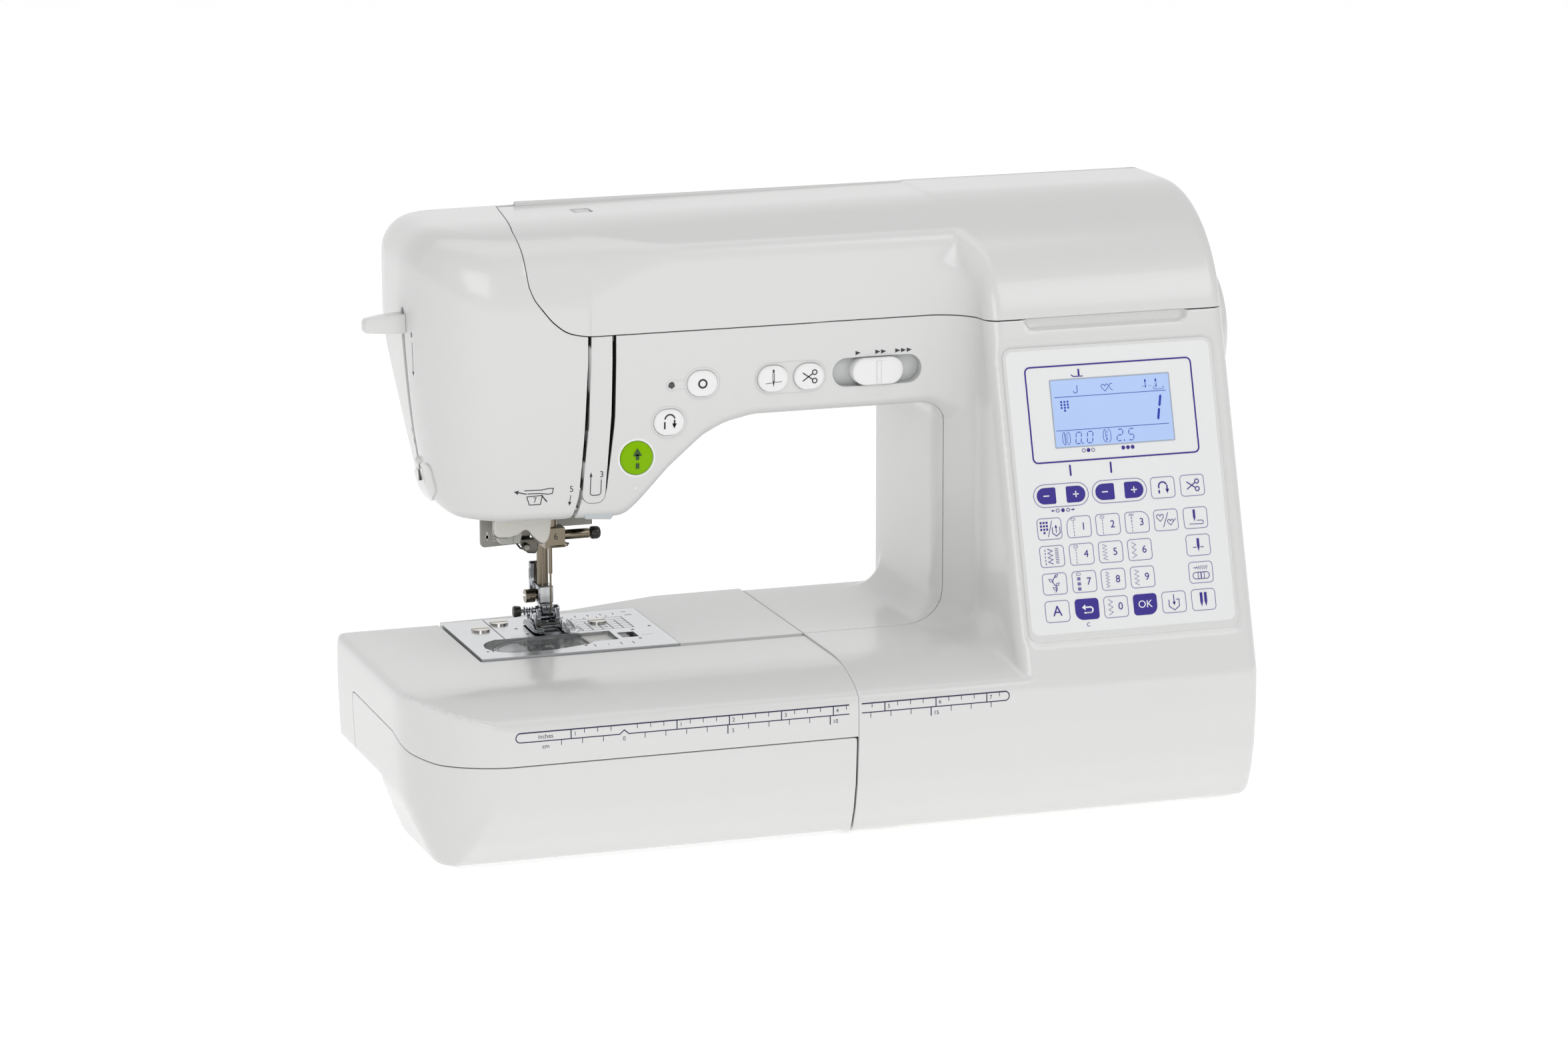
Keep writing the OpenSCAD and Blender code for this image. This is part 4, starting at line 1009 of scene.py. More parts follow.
def stroke(a, b, w):
    """One pointed segment of a counter."""
    a, b = np.array(a, float), np.array(b, float)
    d = (b - a) / np.linalg.norm(b - a)
    n = np.array([-d[1], d[0]])
    ink.fill([tuple(a), tuple(a + (d - n) * w / 2), tuple(b - (d + n) * w / 2), tuple(b),
              tuple(b - (d - n) * w / 2), tuple(a + (d + n) * w / 2)])


def digit(lit):
    """A seven-segment figure, leaning to the right, with the named segments lit."""
    size, width, lean = 2.7, 0.4, 0.35
    ends = {"a": ((0, 2), (1, 2)), "b": ((1, 2), (1, 1)), "c": ((1, 1), (1, 0)), "d": ((0, 0), (1, 0)),
            "e": ((0, 1), (0, 0)), "f": ((0, 2), (0, 1)), "g": ((0, 1), (1, 1))}
    for k in lit:
        a, b = (np.array([u * size + v * lean, v * size]) for u, v in ends[k])
        gap = (b - a) / np.linalg.norm(b - a) * 0.3
        stroke(a + gap, b - gap, width)


for px, py in ((0.02, 0.252), (0.01, 0.755)):
    spot(px, py).line([(0, 0), (DISPLAY_W * (0.97 - px), 0)], 0.3)
spot(0.205, 0.145).line([(0.9, 1.8), (0.9, -0.8)] + arc((-0.1, -0.8), 1.0, 0, -180, 8), 0.35)
heart_mark(spot(0.455, 0.15), 0, 0, 1.15)
ink.line([(3.9, 1.6), (2.9, 1.8), (2.2, 1.0), (2.6, -0.4), (3.8, -1.7)], 0.28)
for px in (0.80, 0.89):
    spot(px, 0.14).fill([(-0.4, 2.3), (-0.4, 1.0), (0.4, 1.0), (0.4, 2.3)])
    ink.line([(-0.35, 0.9), (-0.35, -0.7), (0, -1.9), (0.35, -0.7), (0.35, 0.9)], 0.18)
    ink.fill([(-0.4, -0.7), (0, -2.1), (0.4, -0.7)])
ink.line([(-0.6, -1.3)] + arc((-0.9, -2.0), 0.6, 90, 270, 6) + arc((3.2, -2.0), 0.6, 270, 450, 6), 0.22)
spot(0.80, 0.14).line([(-1.9, -0.9), (-0.8, -0.9)], 0.2).line([(1.6, -0.9), (2.8, -0.9)], 0.2)
for i, count in enumerate((3, 4, 3)):
    for k in range(count):
        spot(0.075 + 0.027 * i, 0.325 + 0.044 * k).solid(0, 0, 0.95, 0.95, 0.05)
spot(0.905, 0.50)
stroke((-0.2, 0.3), (0.9, 6.0), 1.2)
stroke((-1.5, -6.0), (-0.4, -0.3), 1.2)
for px, lit in ((0.165, "abcdef"), (0.262, "abcdef"), (0.515, "abged"), (0.612, "afgcd")):
    spot(px, 0.965)
    digit(lit)
for px in (0.225, 0.577):
    spot(px, 0.962).dot(0, 0, 0.32)
for px in (0.09, 0.435):
    spot(px, 0.875)
    for side in (-1, 1):
        ink.line([(side * 0.5, side * 3.0)] + arc((0, 1.3), 1.9, 90 - side * 15, 90 - side * 90, 6)[1:]
                 + arc((0, -1.3), 1.9, -90 + side * 90, -90 + side * 15, 6), 0.26)
for k in range(3):
    ink.line([(0, 2.3 - 1.7 * k), (0, 1.3 - 1.7 * k)], 0.34)
zigzag(spot(0.09, 0.875), 0, 0, 4.6, 9, 1.5, 0.24)
ink.emit("display_segments", on_panel(-0.09), "frame", INK)


# ---- bed ruler ----
def ruler(low, high, field, body, name):
    """The part of the bed's ruler between two places across, on one body."""
    rule = Print()
    upper, lower, middle, zero, border, bold, fine = 66.0, 61.8, 63.9, -1.0, 0.48, 0.5, 0.3
    a, b = max(low, -50.5), min(high, 186)
    if low < 0:
        rule.line([(b, upper), (a, upper)] + arc((a, middle), 2.1, 90, 270, 10)
                  + [(zero - 2.2, lower), (zero, lower + 1.9), (zero + 2.2, lower), (b, lower)], border)
        rule.text("inches", -38.5, middle, 2.9).text("cm", -38.5, lower - 2.6, 2.9).text("0", zero, lower - 2.2, 2.8)
    else:
        rule.line([(a, upper), (b, upper)] + arc((b, middle), 2.1, 90, -90, 10) + [(a, lower)], border)
    # quarter inches hang from the upper line and centimetres from the lower; every 4th or 5th is long and numbered
    for step, start, end, every, unit, top, ticks, right, at in (
            (6.35, -4, 30, 4, 4, upper, (upper - 2.0, lower), 2.0, middle),
            (10, -3, 19, 5, 1, lower, (lower - 2.6, lower - 4.2), 2.6, lower - 2.9)):
        for k in range(start, end):
            u, numbered = zero + k * step, k % every == 0
            if k and low + 1 < u < high - 1:
                rule.line([(u, top), (u, ticks[numbered])], bold if numbered else fine)
                if numbered:
                    rule.text(str(abs(k) // unit), u + right, at, 2.7)
    rule.emit(name, on_surface(field, 1, 1.5), body, RULE_INK)


ruler(-60, 108.4, table_field, "table", "table_rule_print")
ruler(114.6, 190, body_field, "frame", "body_rule_print")

# ---- metals and other finishes ----
BAR = material("bar_steel", (0.20, 0.172, 0.13), rough=0.2, metallic=1, bump=0.15, scale=1400, vary=0.14,
               stretch=(1, 1, 0.05), spread=0.08)
BAR_ACROSS = material("turned_steel", (0.24, 0.205, 0.155), rough=0.18, metallic=1, bump=0.1, scale=1400, vary=0.12,
                      stretch=(0.05, 1, 1), spread=0.06)
CHROME = material("chrome_plate", (0.33, 0.342, 0.36), rough=0.07, metallic=1, bump=0.05, scale=300, vary=0.16,
                  spread=0.03)
DARK_STEEL = material("dark_steel", (0.13, 0.12, 0.105), rough=0.22, metallic=1, bump=0.3, scale=700, vary=0.3)
PLATE = material("brushed_plate", (0.64, 0.648, 0.665), rough=0.24, metallic=1, bump=0.25, scale=1100, vary=0.04,
                 stretch=(0.04, 1, 1), spread=0.1)
SCREW = material("polished_screw", (0.6, 0.58, 0.54), rough=0.12, metallic=1, bump=0.1, scale=500, vary=0.15)
ENGRAVED = material("engraved_dark", (0.035, 0.035, 0.04), rough=0.5, vary=0.1)
BLACK_ABS = material("black_abs", (0.022, 0.02, 0.018), rough=0.28, bump=0.2, vary=0.2, coat=0.2)
BEIGE = material("grey_beige_abs", (0.36, 0.35, 0.31), rough=0.32, bump=0.1, vary=0.03)
BEIGE_GREY = material("guard_abs", (0.50, 0.50, 0.465), rough=0.3, bump=0.08, vary=0.03)
BEIGE_LIGHT = material("light_beige_abs", (0.66, 0.65, 0.6), rough=0.3, bump=0.08, vary=0.03)
CLEAR = material("clear_cover", (0.9, 0.93, 0.93), rough=0.04, vary=0.01, spread=0.02, Transmission_Weight=0.85,
                 IOR=1.3, Alpha=0.3)
CLEAR_TOE = material("clear_toe", (0.93, 0.95, 0.96), rough=0.05, vary=0.01, spread=0.02, Transmission_Weight=0.85,
                     IOR=1.42, Alpha=0.85)
RUBBER = material("soft_rubber", (0.035, 0.035, 0.035), rough=0.75, bump=0.6, scale=500, vary=0.15)
BELT = material("belt_rubber", (0.025, 0.025, 0.027), rough=0.65, bump=0.8, scale=350, vary=0.2, stretch=(0.2, 1, 1))
CAST = material("cast_alloy", (0.5, 0.5, 0.51), rough=0.5, metallic=1, bump=0.7, scale=420, vary=0.07)
BOARD = material("solder_mask", (0.02, 0.13, 0.05), rough=0.35, bump=0.3, scale=600, vary=0.2)
SHEET = material("panel_membrane", (0.80, 0.805, 0.81), rough=0.36, bump=0.06, scale=1500, vary=0.01)
LCD_BODY = material("display_body", (0.2, 0.21, 0.22), rough=0.5, bump=0.2, vary=0.1)
THREAD = material("spool_plastic", (0.75, 0.78, 0.8), rough=0.15, vary=0.03, Transmission_Weight=0.35)
LENS = material("lamp_lens", (0.64, 0.68, 0.70), rough=0.12, coat=0.4, vary=0.08, Transmission_Weight=0.2)

FINISH = {
    WHITE: ["handwheel", "spool_cap", "winder_spindle", "free_arm_cover"],
    GREY: ["top_tray", "base_plate", "carry_handle", "drop_lever", "spool_pin"],
    BEIGE: ["lifter_lever"],
    SHEET: ["panel_sheet"], LCD_BODY: ["lcd_module"], BOARD: ["main_board"],
    RUBBER: ["feet"], BELT: ["timing_belt", "motor_belt"],
    CAST: ["arm_casting", "bed_casting", "feed_carriage"],
    BAR: ["needle_bar", "presser_bar", "needle"],
    BAR_ACROSS: ["arm_shaft", "motor_rotor", "lower_shaft", "lower_gear", "foot_screw"],
    SCREW: ["plate_screws"],
    DARK_STEEL: ["hook", "motor", "feed_dog"],
    PLATE: ["needle_plate"],
    BLACK_ABS: ["upper_pulley", "lower_pulley", "bobbin_case", "cover_latch", "power_switch", "power_inlet"],
    CLEAR: ["bobbin_cover"], THREAD: ["bobbin"],
}
EDGES = {"handwheel": 0.8, "carry_handle": 1.2, "top_tray": 0.6, "needle_bar": 0.35,
         "foot_screw": 0.25, "plate_screws": 0.18, "needle_plate": 0.15, "cover_latch": 0.2, "panel_sheet": 0.15,
         "spool_cap": 0.6, "winder_spindle": 0.5, "lifter_lever": 0.8, "drop_lever": 0.5,
         "power_switch": 0.3, "power_inlet": 0.4, "feed_dog": 0.08, "free_arm_cover": 0.8,
         "base_plate": 0.5, "feet": 0.5, "arm_casting": 0.6, "bed_casting": 0.6, "motor": 0.6, "bobbin_case": 0.3,
         "hook": 0.3, "bobbin": 0.2, "lower_gear": 0.1, "upper_pulley": 0.15, "lower_pulley": 0.15}
for finish, names in FINISH.items():
    for name in names:
        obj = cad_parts[name]
        obj.data.materials.clear()
        obj.data.materials.append(finish)
        if name in EDGES:
            soften(obj, EDGES[name], 3, 38)

# ---- needle clamp and its screw ----
CLAMP = (122, 128.5)                                # the clamp screw's axis, in y and z
Solid().turn(0, CLAMP, [(1.7, 2.2), (1.7, 6.3), (2.2, 6.5), (2.4, 6.8), (2.4, 18.8), (2.2, 19.2), (1.2, 19.3),
                        (1.2, 19.9), (0.3, 19.9)], n=36).emit(
    "clamp_barrel", "needle_clamp_screw", BAR_ACROSS, ["clamp_screw"], "steel", soft=0)
Solid().turn(0, CLAMP, [(1.1, 19.6), (2.4, 19.7), (3.1, 20.3), (3.2, 21.2), (3.2, 23.4), (2.7, 24.4), (1.6, 24.9),
                        (0.2, 24.95)], n=10).emit(
    "clamp_grip", "needle_clamp_screw", BLACK_ABS, slot="black_plastic", soft=0.35, angle=20)
Solid().wire([(-3.4, 118.6, 124.4), (-1.0, 117.2, 124.2), (3.0, 116.7, 124.2), (7.2, 117.4, 124.3),
              (8.4, 119.4, 124.6), (6.4, 120.6, 124.9), (4.4, 119.6, 125.0)], 0.45).emit(
    "needle_thread_guide", "needle_carrier", BAR, slot="steel", soft=0)
Print().text("6", 1.4, 128.9, 4.4).emit("clamp_mark", on_plane(1, 116.93), "needle_carrier", BLACK)

# ---- presser foot holder and foot ----
holder = Solid().box((-3.7, 130.2, 93.3), (3.7, 138.6, 101.9), 0.5)
holder.box((-4.2, 138.0, 93.3), (3.7, 142.3, 101.9), 0.5)
holder.prism([(126.7, 93.4), (126.7, 89.4), (128.2, 87.5), (132.2, 87.5), (134.4, 90.0), (138.4, 93.4)], 0, -2.9, 2.9)
holder.prism([(139.6, 93.4), (142.3, 93.4), (142.3, 112.2), (140.4, 112.2), (139.6, 110.8)], 0, -5.2, 0.5)
holder.emit("foot_holder_casting", "presser", CHROME, ["foot_holder"], "chrome", soft=0.4, segments=3)
Solid().prism([(140.3, 103.6), (141.7, 103.6), (141.7, 108.6), (140.3, 108.6)], 0, -5.32, -5.0).emit(
    "holder_slot", "presser", DARK_STEEL, slot="steel", soft=0.05)
SATIN = material("satin_face", (0.86, 0.87, 0.88), rough=0.35, metallic=0.6, bump=0.1, vary=0.04)
Solid().prism([(-2.9, 94.0), (3.0, 94.0), (3.0, 101.3), (-2.9, 101.3)], 1, 129.75, 130.3).emit(
    "holder_front_face", "presser", SATIN, slot="chrome", soft=0.15)
# A dark block below the holder's front face, in the dark steel finish: painted shadow under the step.
Solid().box((-3.1, 129.95, 89.6), (3.1, 130.6, 93.3), 0.2).emit(
    "holder_step_painted_shadow", "presser", DARK_STEEL, slot="steel", soft=0.1)

SOLE, SOLE_TOP, PIN = 82.25, 83.9, (130, 90.5)     # the sole, bottom and top, and the pin the foot tilts on
foot = Solid()
foot.prism([(-9.6, 137.6), (-9.6, 119.5), (-9.0, 117), (-7.6, 115.4), (-5.4, 115.2), (-4.6, 116.4), (-4.4, 137.6)],
           2, SOLE, SOLE_TOP)
foot.prism([(4.4, 137.6), (4.4, 118.4), (8.2, 118.4), (8.8, 119.6), (8.8, 137.6)], 2, SOLE, SOLE_TOP)
foot.prism([(-4.6, 137.6), (-4.6, 124.4), (4.6, 124.4), (4.6, 137.6)], 2, SOLE, SOLE_TOP)
foot.prism([(124.6, 87.0), (127.5, 87.4), (133.0, 85.6), (137.4, 85.0), (137.0, 83.7), (119.2, 83.7), (118.0, 83.7)],
           0, -9.2, -7.7)
foot.prism([(125.2, 86.6), (131.0, 87.0), (136.0, 86.0), (136.6, 83.7), (124.4, 83.7)], 0, 5.2, 6.4)
ear = [(126.2, 83.7), (126.2, 88.0)] + arc((129.6, 90.4), 2.3, 175, 40, 10) + [(133.6, 86.6), (133.8, 83.7)]
for x in (-4.7, 4.7):
    foot.prism(ear, 0, x - 1.0, x + 1.0)
foot.prism([(131.8, 83.7), (133.6, 83.7), (133.6, 87.0), (131.8, 87.0)], 0, -4, 4)
foot.turn(0, PIN, [(1.2, -6.9), (1.2, 6.4), (0.3, 6.5)], n=28)
foot.turn(0, PIN, [(0.9, -13.2), (0.9, -6.6)])
for a, b, r in ((-7.3, -6.7, 1.9), (-9.9, -9.4, 1.8), (-11.4, -10.8, 2.2)):
    foot.turn(0, PIN, [(0.8, a), (r, a + 0.05), (r, b - 0.05), (0.8, b)], n=28)
foot.prism([(127.0, 84.2), (132.0, 84.2), (131.4, 90.6), (130.0, 92.2), (128.6, 91.0)], 0, -8.7, -8.0)
foot.emit("zigzag_foot", "foot", CHROME, ["presser_foot"], "chrome", soft=0.22)
coil = [(-9.2 + 0.0115 * k, 130 + 1.45 * math.cos(k * 0.42), 87.2 + 1.45 * math.sin(k * 0.42)) for k in range(120)]
Solid().wire(coil, 0.22, 8).emit("foot_spring", "foot", CHROME, slot="chrome", soft=0)
Solid().turn(0, PIN, [(1.0, -13.3), (2.3, -13.2), (2.5, -12.9), (2.9, -15.9), (2.6, -16.5), (1.4, -16.75),
                      (0.2, -16.8)], n=9).emit(
    "foot_level_knob", "foot", BLACK_ABS, slot="black_plastic", soft=0.35, angle=20)
toe = Solid()
toe.prism([(4.6, 113.4), (6.4, 112.2), (11.6, 112.6), (12.5, 114.2), (12.5, 126.0), (8.9, 127.0), (8.9, 118.6),
           (4.6, 118.0)], 2, 82.3, 84.4)
toe.prism([(114.2, 85.6), (119.0, 86.4), (126.0, 86.2), (127.0, 84.0), (112.6, 84.0)], 0, 8.6, 9.4)
toe.prism([(114.2, 85.8), (117.6, 86.8), (118.0, 84.0), (112.6, 84.0)], 0, 4.7, 5.5)
toe.emit("clear_toe", "foot", CLEAR_TOE, slot="clear_plastic", soft=0.25)
Solid().prism([(-9.2, 124.0), (4.2, 124.0), (4.2, 127.4), (-7.4, 127.4)], 2, SOLE_TOP, 84.9).emit(
    "foot_ridge", "foot", DARK_STEEL, slot="chrome")

# ---- threader and its guard ----
back = Solid().prism([(-33.2, 149), (-33.2, 126.4)] + arc((-31.0, 126.2), 2.2, 180, 270, 5)
                     + [(-12.4, 124.6), (-12.0, 149)], 1, 126.2, 128.6)
back.box((-23.6, 116.4, 149), (-18.4, 121.8, 194.6), 0.6)
back.box((-31.6, 108, 140), (-19.0, 127, 149), 1.2)
back.emit("threader_plate", "threader_hook", BEIGE, ["threader_head"], "grey_plastic", soft=0.5, segments=3)
Solid().prism([(-31.4, 134.4), (-28.6, 129.6), (-19.4, 129.8), (-18.4, 134.0), (-19.2, 141.0), (-31.2, 141.0)], 1,
              105.4, 112.6).emit(
    "threader_tab", "threader_hook", BEIGE_GREY, slot="grey_plastic", soft=0.7, segments=3)
PIVOT = (-13.4, 125.0)                             # of the threader hook, in x and z
grip = Solid().prism([(-15.6, 128.6), (-15.2, 125.2), (-12.0, 121.4), (-8.2, 121.0), (-6.8, 123.0), (-7.0, 128.6)],
                     1, 118.6, 122.2, 0.4)
grip.prism([(-17.8, 133.6), (-14.8, 126.8), (-10.4, 126.0), (-9.4, 132.0), (-12.6, 134.0)], 1, 122.0, 125.6, 0.3)
grip.turn(1, PIVOT, [(1.5, 115.4), (1.9, 115.9), (1.9, 119.0), (1.5, 119.4)])
grip.wire([(-17.4, 119.0, 126.4), (-16.2, 117.4, 124.6), (-14.0, 116.6, 124.0)], 0.5)
grip.emit("threader_hook_unit", "threader_hook", DARK_STEEL, slot="steel")
Solid().turn(1, PIVOT, [(1.3, 115.2), (1.45, 115.0), (1.2, 114.8), (0.2, 114.75)]).emit(
    "threader_pivot", "threader_hook", BEIGE, slot="steel", soft=0)
Print().line([(-26.4, 134.0), (-22.6, 134.3), (-23.0, 130.0)], 0.35).emit(
    "threader_figure", on_plane(1, 105.3), "threader_hook", material("figure_grey", (0.3, 0.29, 0.26), rough=0.5))
mark = Print()
arrow(mark, (-30.0, 131.6), (-30.0, 127.0), 1.1, 2.2)
for k in range(3):
    mark.line([(-27.4, 130.0 - 1.5 * k), (-25.0, 130.0 - 1.5 * k)], 0.4)
mark.emit("threader_arrow", on_plane(1, 126.12), "threader_hook", BEIGE_LIGHT)
guard = ([(-33.8, 150.6), (-34.2, 138.6)] + arc((-32.2, 137.6), 2.0, 180, 262, 5)
         + [(-27.6, 135.3), (-23.4, 136.2), (-20.6, 138.2), (-18.8, 138.4), (-17.2, 136.9), (-14.4, 133.6),
            (-12.6, 131.9), (-11.2, 131.3), (-9.8, 131.6), (-8.6, 133.0), (-7.8, 135.4), (-7.0, 141.0), (-6.4, 150.6)])
Solid().prism(guard, 1, 95.1, 98.3).emit("needle_guard", "frame", BEIGE_LIGHT, slot="grey_plastic", soft=0.8,
                                         segments=3)
# A dark strip just under the guard's lower edge, in the dark steel finish: painted shadow of the guard's lip, not a
# part.
lip = guard[1:17]
Solid().prism(lip + [(a, b - 0.9) for a, b in lip[::-1]], 1, 98.4, 99.2).emit(
    "guard_lip_painted_shadow", "frame", DARK_STEEL, slot="steel", soft=0)

# ---- levers, painted slot shade, dial and hinge ----
rings = []
for x, y0, y1, z0, z1 in ((-93.2, 107.9, 111.6, 235.9, 240.3), (-92.2, 106.7, 112.8, 234.9, 241.5),
                          (-84.0, 105.9, 114.0, 234.3, 242.7), (-74.2, 105.6, 114.4, 234.0, 243.2),
                          (-73.4, 106.0, 114.0, 234.4, 242.8)):
    rings.append([(x, a, b) for a, b in rounded_path((y0 + y1) / 2, (z0 + z1) / 2, y1 - y0, z1 - z0, 1.0)])
lever = Solid().loops(rings)
lever.box((-74.0, 108.9, 236.5), (-60.0, 111.1, 241.0))
lever.box((-62.0, 106.0, 232.0), (-57.0, 114.0, 246.0), 1.0)
lever.emit("threader_slide_lever", "threader_slide", WHITE, ["threader_lever"], "white_cover", soft=0.5, segments=3)
# Black strips inside the thread slots, beside and behind the guide strip: painted shade of the deep slots, not a part
# of the machine.
slot_shade_strips = Solid()
for edge, start, end, depth in (
        (lambda z: edge_left(z) + 0.6 if z < 183 else max(edge_left(z) + 0.6, 5.6), 0, 4.5, (81.4, 82.4)),
        (edge_right, -2.0, 6.0, (81.4, 82.4)), (edge_left, 0.78, 1.06, (75.7, 78.6)),
        (slot_right, -0.22, 0.06, (75.7, 78.6))):
    slot_shade_strips.prism([(edge(z) + start, z) for z in LEVELS[::-1]] + [(edge(z) + end, z) for z in LEVELS], 1, *depth)
slot_shade_strips.emit("slot_painted_shade", "frame", BLACK_ABS, slot="black_plastic", soft=0)
arm_path = [(113.6, 192.0)] + [(115 + 4.5 * math.cos(a), 196 + 4.5 * math.sin(a)) for a in np.linspace(-1.9, 1.0, 12)]
arm_path += [(84.6, 223.6)] + [(83 + 3.5 * math.cos(a), 221 + 3.5 * math.sin(a)) for a in np.linspace(1.0, 4.1, 14)]
Solid().prism(arm_path, 0, 3.95, 4.6).emit("take_up_arm", "take_up", CHROME, ["take_up_lever"], "steel", soft=0.2)
TEETH, GROOVE = 36, 0.35
rings = [[(x, 125 + (r - GROOVE * (k % 2)) * math.cos(math.pi * k / TEETH),
           274.5 + (r - GROOVE * (k % 2)) * math.sin(math.pi * k / TEETH)) for k in range(2 * TEETH)]
         for x, r in ((14.2, 9.2), (14.7, 9.9), (21.3, 9.9), (21.8, 9.2))]
Solid().loops(rings).emit("tension_wheel", "dial", WHITE, ["tension_dial"], "grey_plastic", soft=0.08)
Solid().turn(0, (150, 284.2), [(1.6, -8.0), (1.85, -7.6), (1.85, 305.6), (1.6, 306.0)], n=32).emit(
    "lid_hinge_tube", "top_lid", WHITE, slot="white_cover", soft=0.1)
mark = Print().text("8", 100.6, 234.0, 3.4)
arrow(mark, (100.4, 230.6), (101.1, 214.4), 0.3, 1.6)
mark.line([(113.0, 187.0), (112.4, 184.6)], 0.5).line([(111.9, 182.0), (111.3, 179.6)], 0.5)
mark.emit("side_marks", on_surface(body_field, 0, -74.0), "frame", BLACK)
Solid().prism([(3.4, 149.2), (4.2, 146.0), (16.4, 145.0), (17.6, 146.4), (17.8, 149.2)], 1, 75.9, 92).emit(
    "lamp_window", "frame", LENS, slot="clear_plastic", soft=0.4)


# ---- frame round the touch panel ----
def panel_ring(width, height, radius, behind, middle=PANEL_S):
    return on_panel(behind)(*np.array(rounded_path(PANEL_X, middle, width, height, radius)).T)


Solid().loops([panel_ring(107.4, 139.6, 5.2, 1.2), panel_ring(107.4, 139.6, 5.2, 0.3),
               panel_ring(106.6, 138.8, 4.8, -0.1), panel_ring(104.2, 135.0, 3.8, -0.1, 92.2),
               panel_ring(104.2, 135.0, 3.8, 1.2, 92.2)], capped=False).emit(
    "panel_surround", "frame", WHITE, slot="white_cover", soft=0)

# ---- needle plate engraving ----
cut = Print().line([(-25.2, 153.6), (-25.2, 114.6)], 0.45).line([(39, 101.5), (45, 101.5)], 0.16)
for u, v in ((-18.6, 150.6), (-36.5, 108), (-39.5, 93)):
    cut.dot(u, v, 0.7)
for u, v in ((-14.6, 132.0), (-4.6, 128.0), (-12.2, 120.4), (47.7, 117.3), (38, 112.8), (36.5, 95.5), (8.0, 90.2),
             (-2.0, 90.0)):
    cut.dot(u, v, 0.85)
for k in range(6):
    cut.line([(12.6 + 0.6 * k, 117.6 + 4.4 * k), (40.4, 117.6 + 4.4 * k)], 0.26)
for across, low, high, w in (((15.0, 20.0, 25.0, 30.0, 35.0), 117.4, 134.0, 0.42), ((40.0,), 117.4, 139.8, 0.42),
                             ((12.7, 19.05, 25.4, 31.75, 38.1), 147.6, 144.8, 0.45),
                             ((10.0, 15.9, 22.2, 28.6), 142.6, 140.8, 0.45), ((12.0, 25.0, 31.0), 90.6, 86.6, 0.42)):
    for u in across:
        cut.line([(u, low), (u, high)], w)
cut.text("in", 44.2, 148.6, 3.2).text("cm", 44.6, 142.0, 3.0).text("4", 33.4, 142.6, 2.6).text("2", 27.6, 122.0, 2.8)
cut.text("1", 18.6, 88.0, 2.8)
cut.emit("plate_engraving", on_plane(2, 81.54), "frame", ENGRAVED)
groove = Print().line([(-37.2, 91.6), (-36.4, 96.4), (-33.6, 101.6), (-29.0, 106.2), (-23.0, 109.6), (-17.6, 110.9)],
                      0.5)
groove.line([(-34.6, 92.2), (-33.6, 96.6), (-30.6, 101.2), (-26.0, 105.0), (-20.4, 107.2)], 0.35)
groove.line([(25.9, 97.2), (25.2, 112.6)], 0.9)
groove.emit("cover_groove", on_plane(2, 81.56), "clear_cover", ENGRAVED)
for name, shape, tone in (
        ("cover_dome", [(-36.4, 91.8), (-35.6, 96.6), (-32.8, 101.6), (-28.2, 105.8), (-22.6, 109.0), (-20.2, 109.4),
                        (-19.4, 92.2)], (0.55, 0.56, 0.575)),
        ("cover_window", [(12.4, 96.4), (24.9, 97.4), (24.3, 111.6), (11.8, 111.6)], (0.78, 0.775, 0.74))):
    grey = material(name + "_grey", tone, rough=0.3, bump=0.1, vary=0.05)
    Solid().prism(shape, 2, 79.9, 80.3).emit(name, "clear_cover", grey, slot="clear_plastic", soft=0.1)

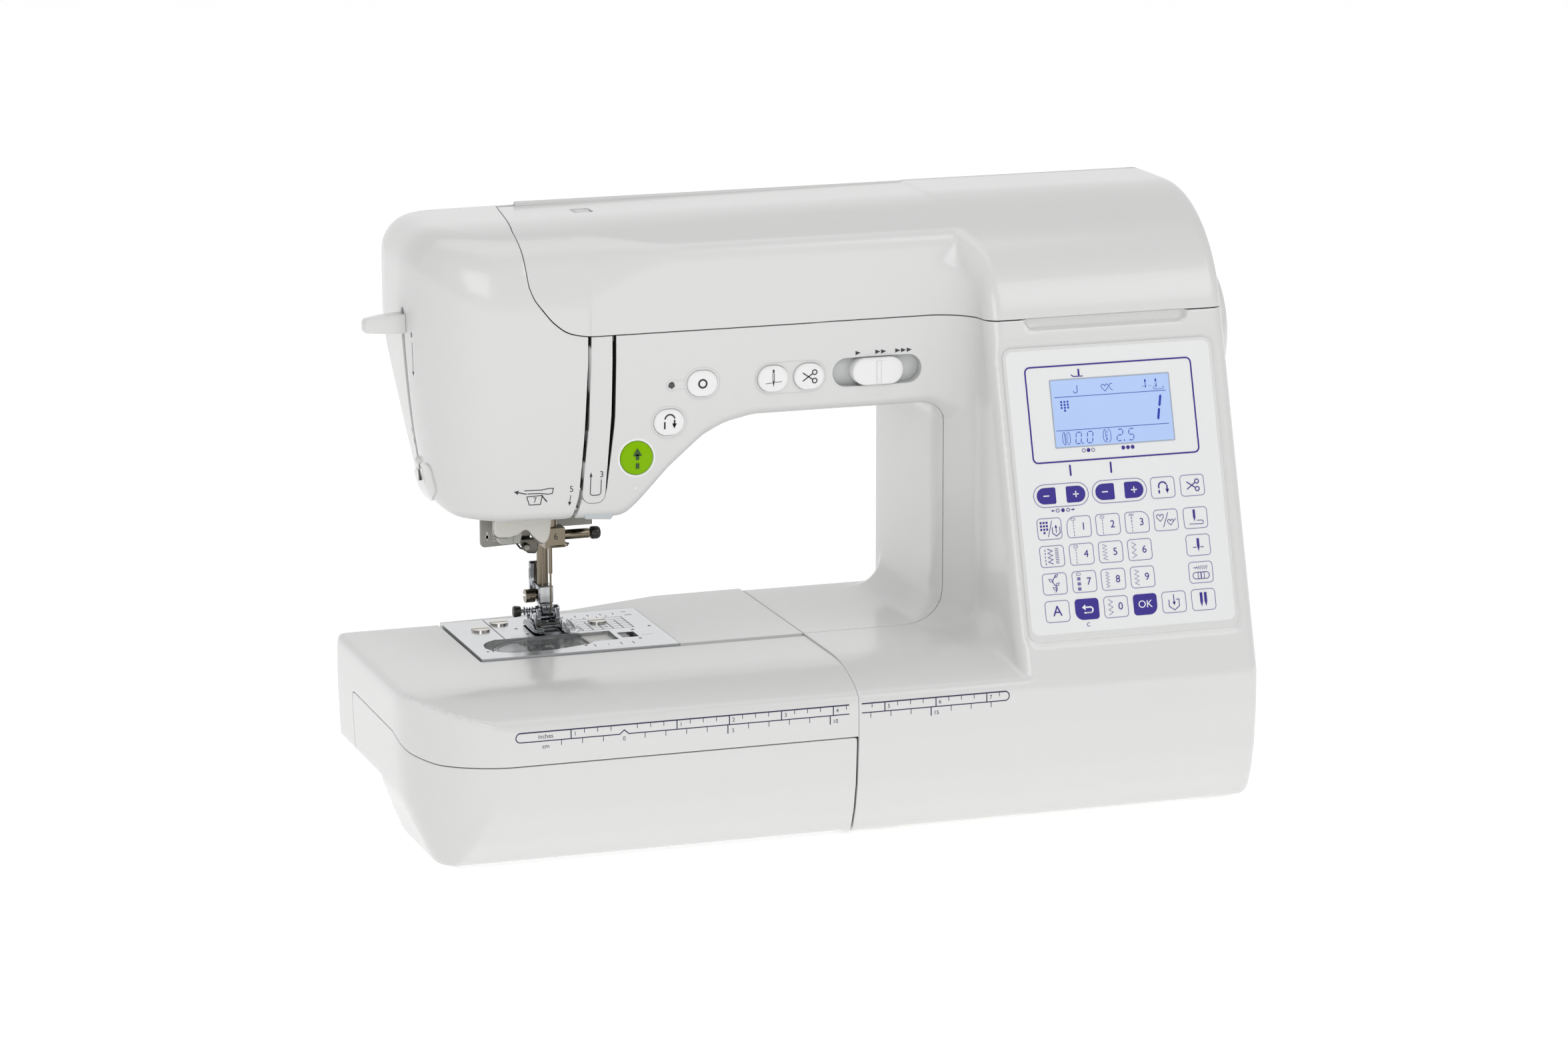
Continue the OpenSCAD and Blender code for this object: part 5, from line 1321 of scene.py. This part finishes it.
# ---- thread cutter on the head's left side ----
cutter_p = Profile([(125.6, 164.6), (114.6, 167.5), (108.9, 168.2), (104.4, 169.4), (97.4, 173.9), (94.2, 173.4),
                    (92.6, 170.0), (90.3, 160.8), (98.8, 155.3), (110, 153.6), (119.5, 154.6)], 1.4, step=0.4,
                   margin=40)
pad, quads, odd = keep(keep(body, lambda x, y, z: cutter_p(y, z)), lambda x, y, z: x + 50)
shell("thread_cutter_pad", (onto(pad, body_field, 1.2), quads, odd), "frame", WHITE, wall=1.4,
      edge=0.6)
Solid().prism([(108.2, 168.5), (105.8, 168.9), (104.6, 164.0), (106.9, 163.4), (107.0, 166.0)], 0, -68.3, -64.0).emit(
    "thread_cutter_slot", "frame", BLACK_ABS, slot="black_plastic", soft=0.15)
Solid().turn(0, (106.0, 173.4), [(1.75, -66.4), (1.75, -68.6), (1.5, -69.4), (0.9, -69.9), (0.2, -70.1)], n=28).emit(
    "thread_cutter_guide", "frame", WHITE, slot="white_cover", soft=0)
mark = Print().line([(106.2, 171.6), (106.6, 168.9)], 0.5).line([(101.6, 170.9), (99.9, 164.9), (100.9, 163.2)], 0.35)
mark.emit("thread_cutter_groove", on_surface(body_field, 0, -69.0, 1.27), "frame", GREY)

# ---- studio ----
make_camera()
area_light("key", (1.5, -1.9, 1.7), (0.05, 0, 0.15), (1.4, 1.0), 10)
area_light("front_left", (-0.9, -2.4, 1.2), (-0.05, 0, 0.12), (1.2, 1.2), 11)
area_light("top", (-0.2, -0.35, 2.4), (0, 0, 0.1), (2.2, 1.4), 12)
world = bpy.data.worlds.new("studio")
bpy.context.scene.world = world
world.use_nodes = True
tree = world.node_tree
where = tree.nodes.new("ShaderNodeTexCoord")
split = tree.nodes.new("ShaderNodeSeparateXYZ")
span = tree.nodes.new("ShaderNodeMapRange")
for socket, value in (("From Min", 0.1), ("From Max", 0.95), ("To Min", 0.42), ("To Max", 1.0)):
    span.inputs[socket].default_value = value
tree.links.new(where.outputs["Generated"], split.inputs["Vector"])
tree.links.new(split.outputs["Y"], span.inputs["Value"])
tree.links.new(span.outputs["Result"], tree.nodes["Background"].inputs["Strength"])
tree.nodes["Background"].inputs["Color"].default_value = (1, 1, 1, 1)
bpy.context.scene.view_settings.view_transform = "Standard"

mesh = bpy.data.meshes.new("floor")
mesh.from_pydata([(-6, -4, 0), (6, -4, 0), (6, 8, 0), (-6, 8, 0)], [], [(0, 1, 2, 3)])
floor = bpy.data.objects.new("floor", mesh)
bpy.context.scene.collection.objects.link(floor)
floor.data.materials.append(material("floor_white", (0.93, 0.93, 0.93), rough=0.8, Emission_Color=(1, 1, 1, 1),
                                     Emission_Strength=0.45, Specular_IOR_Level=0.1))
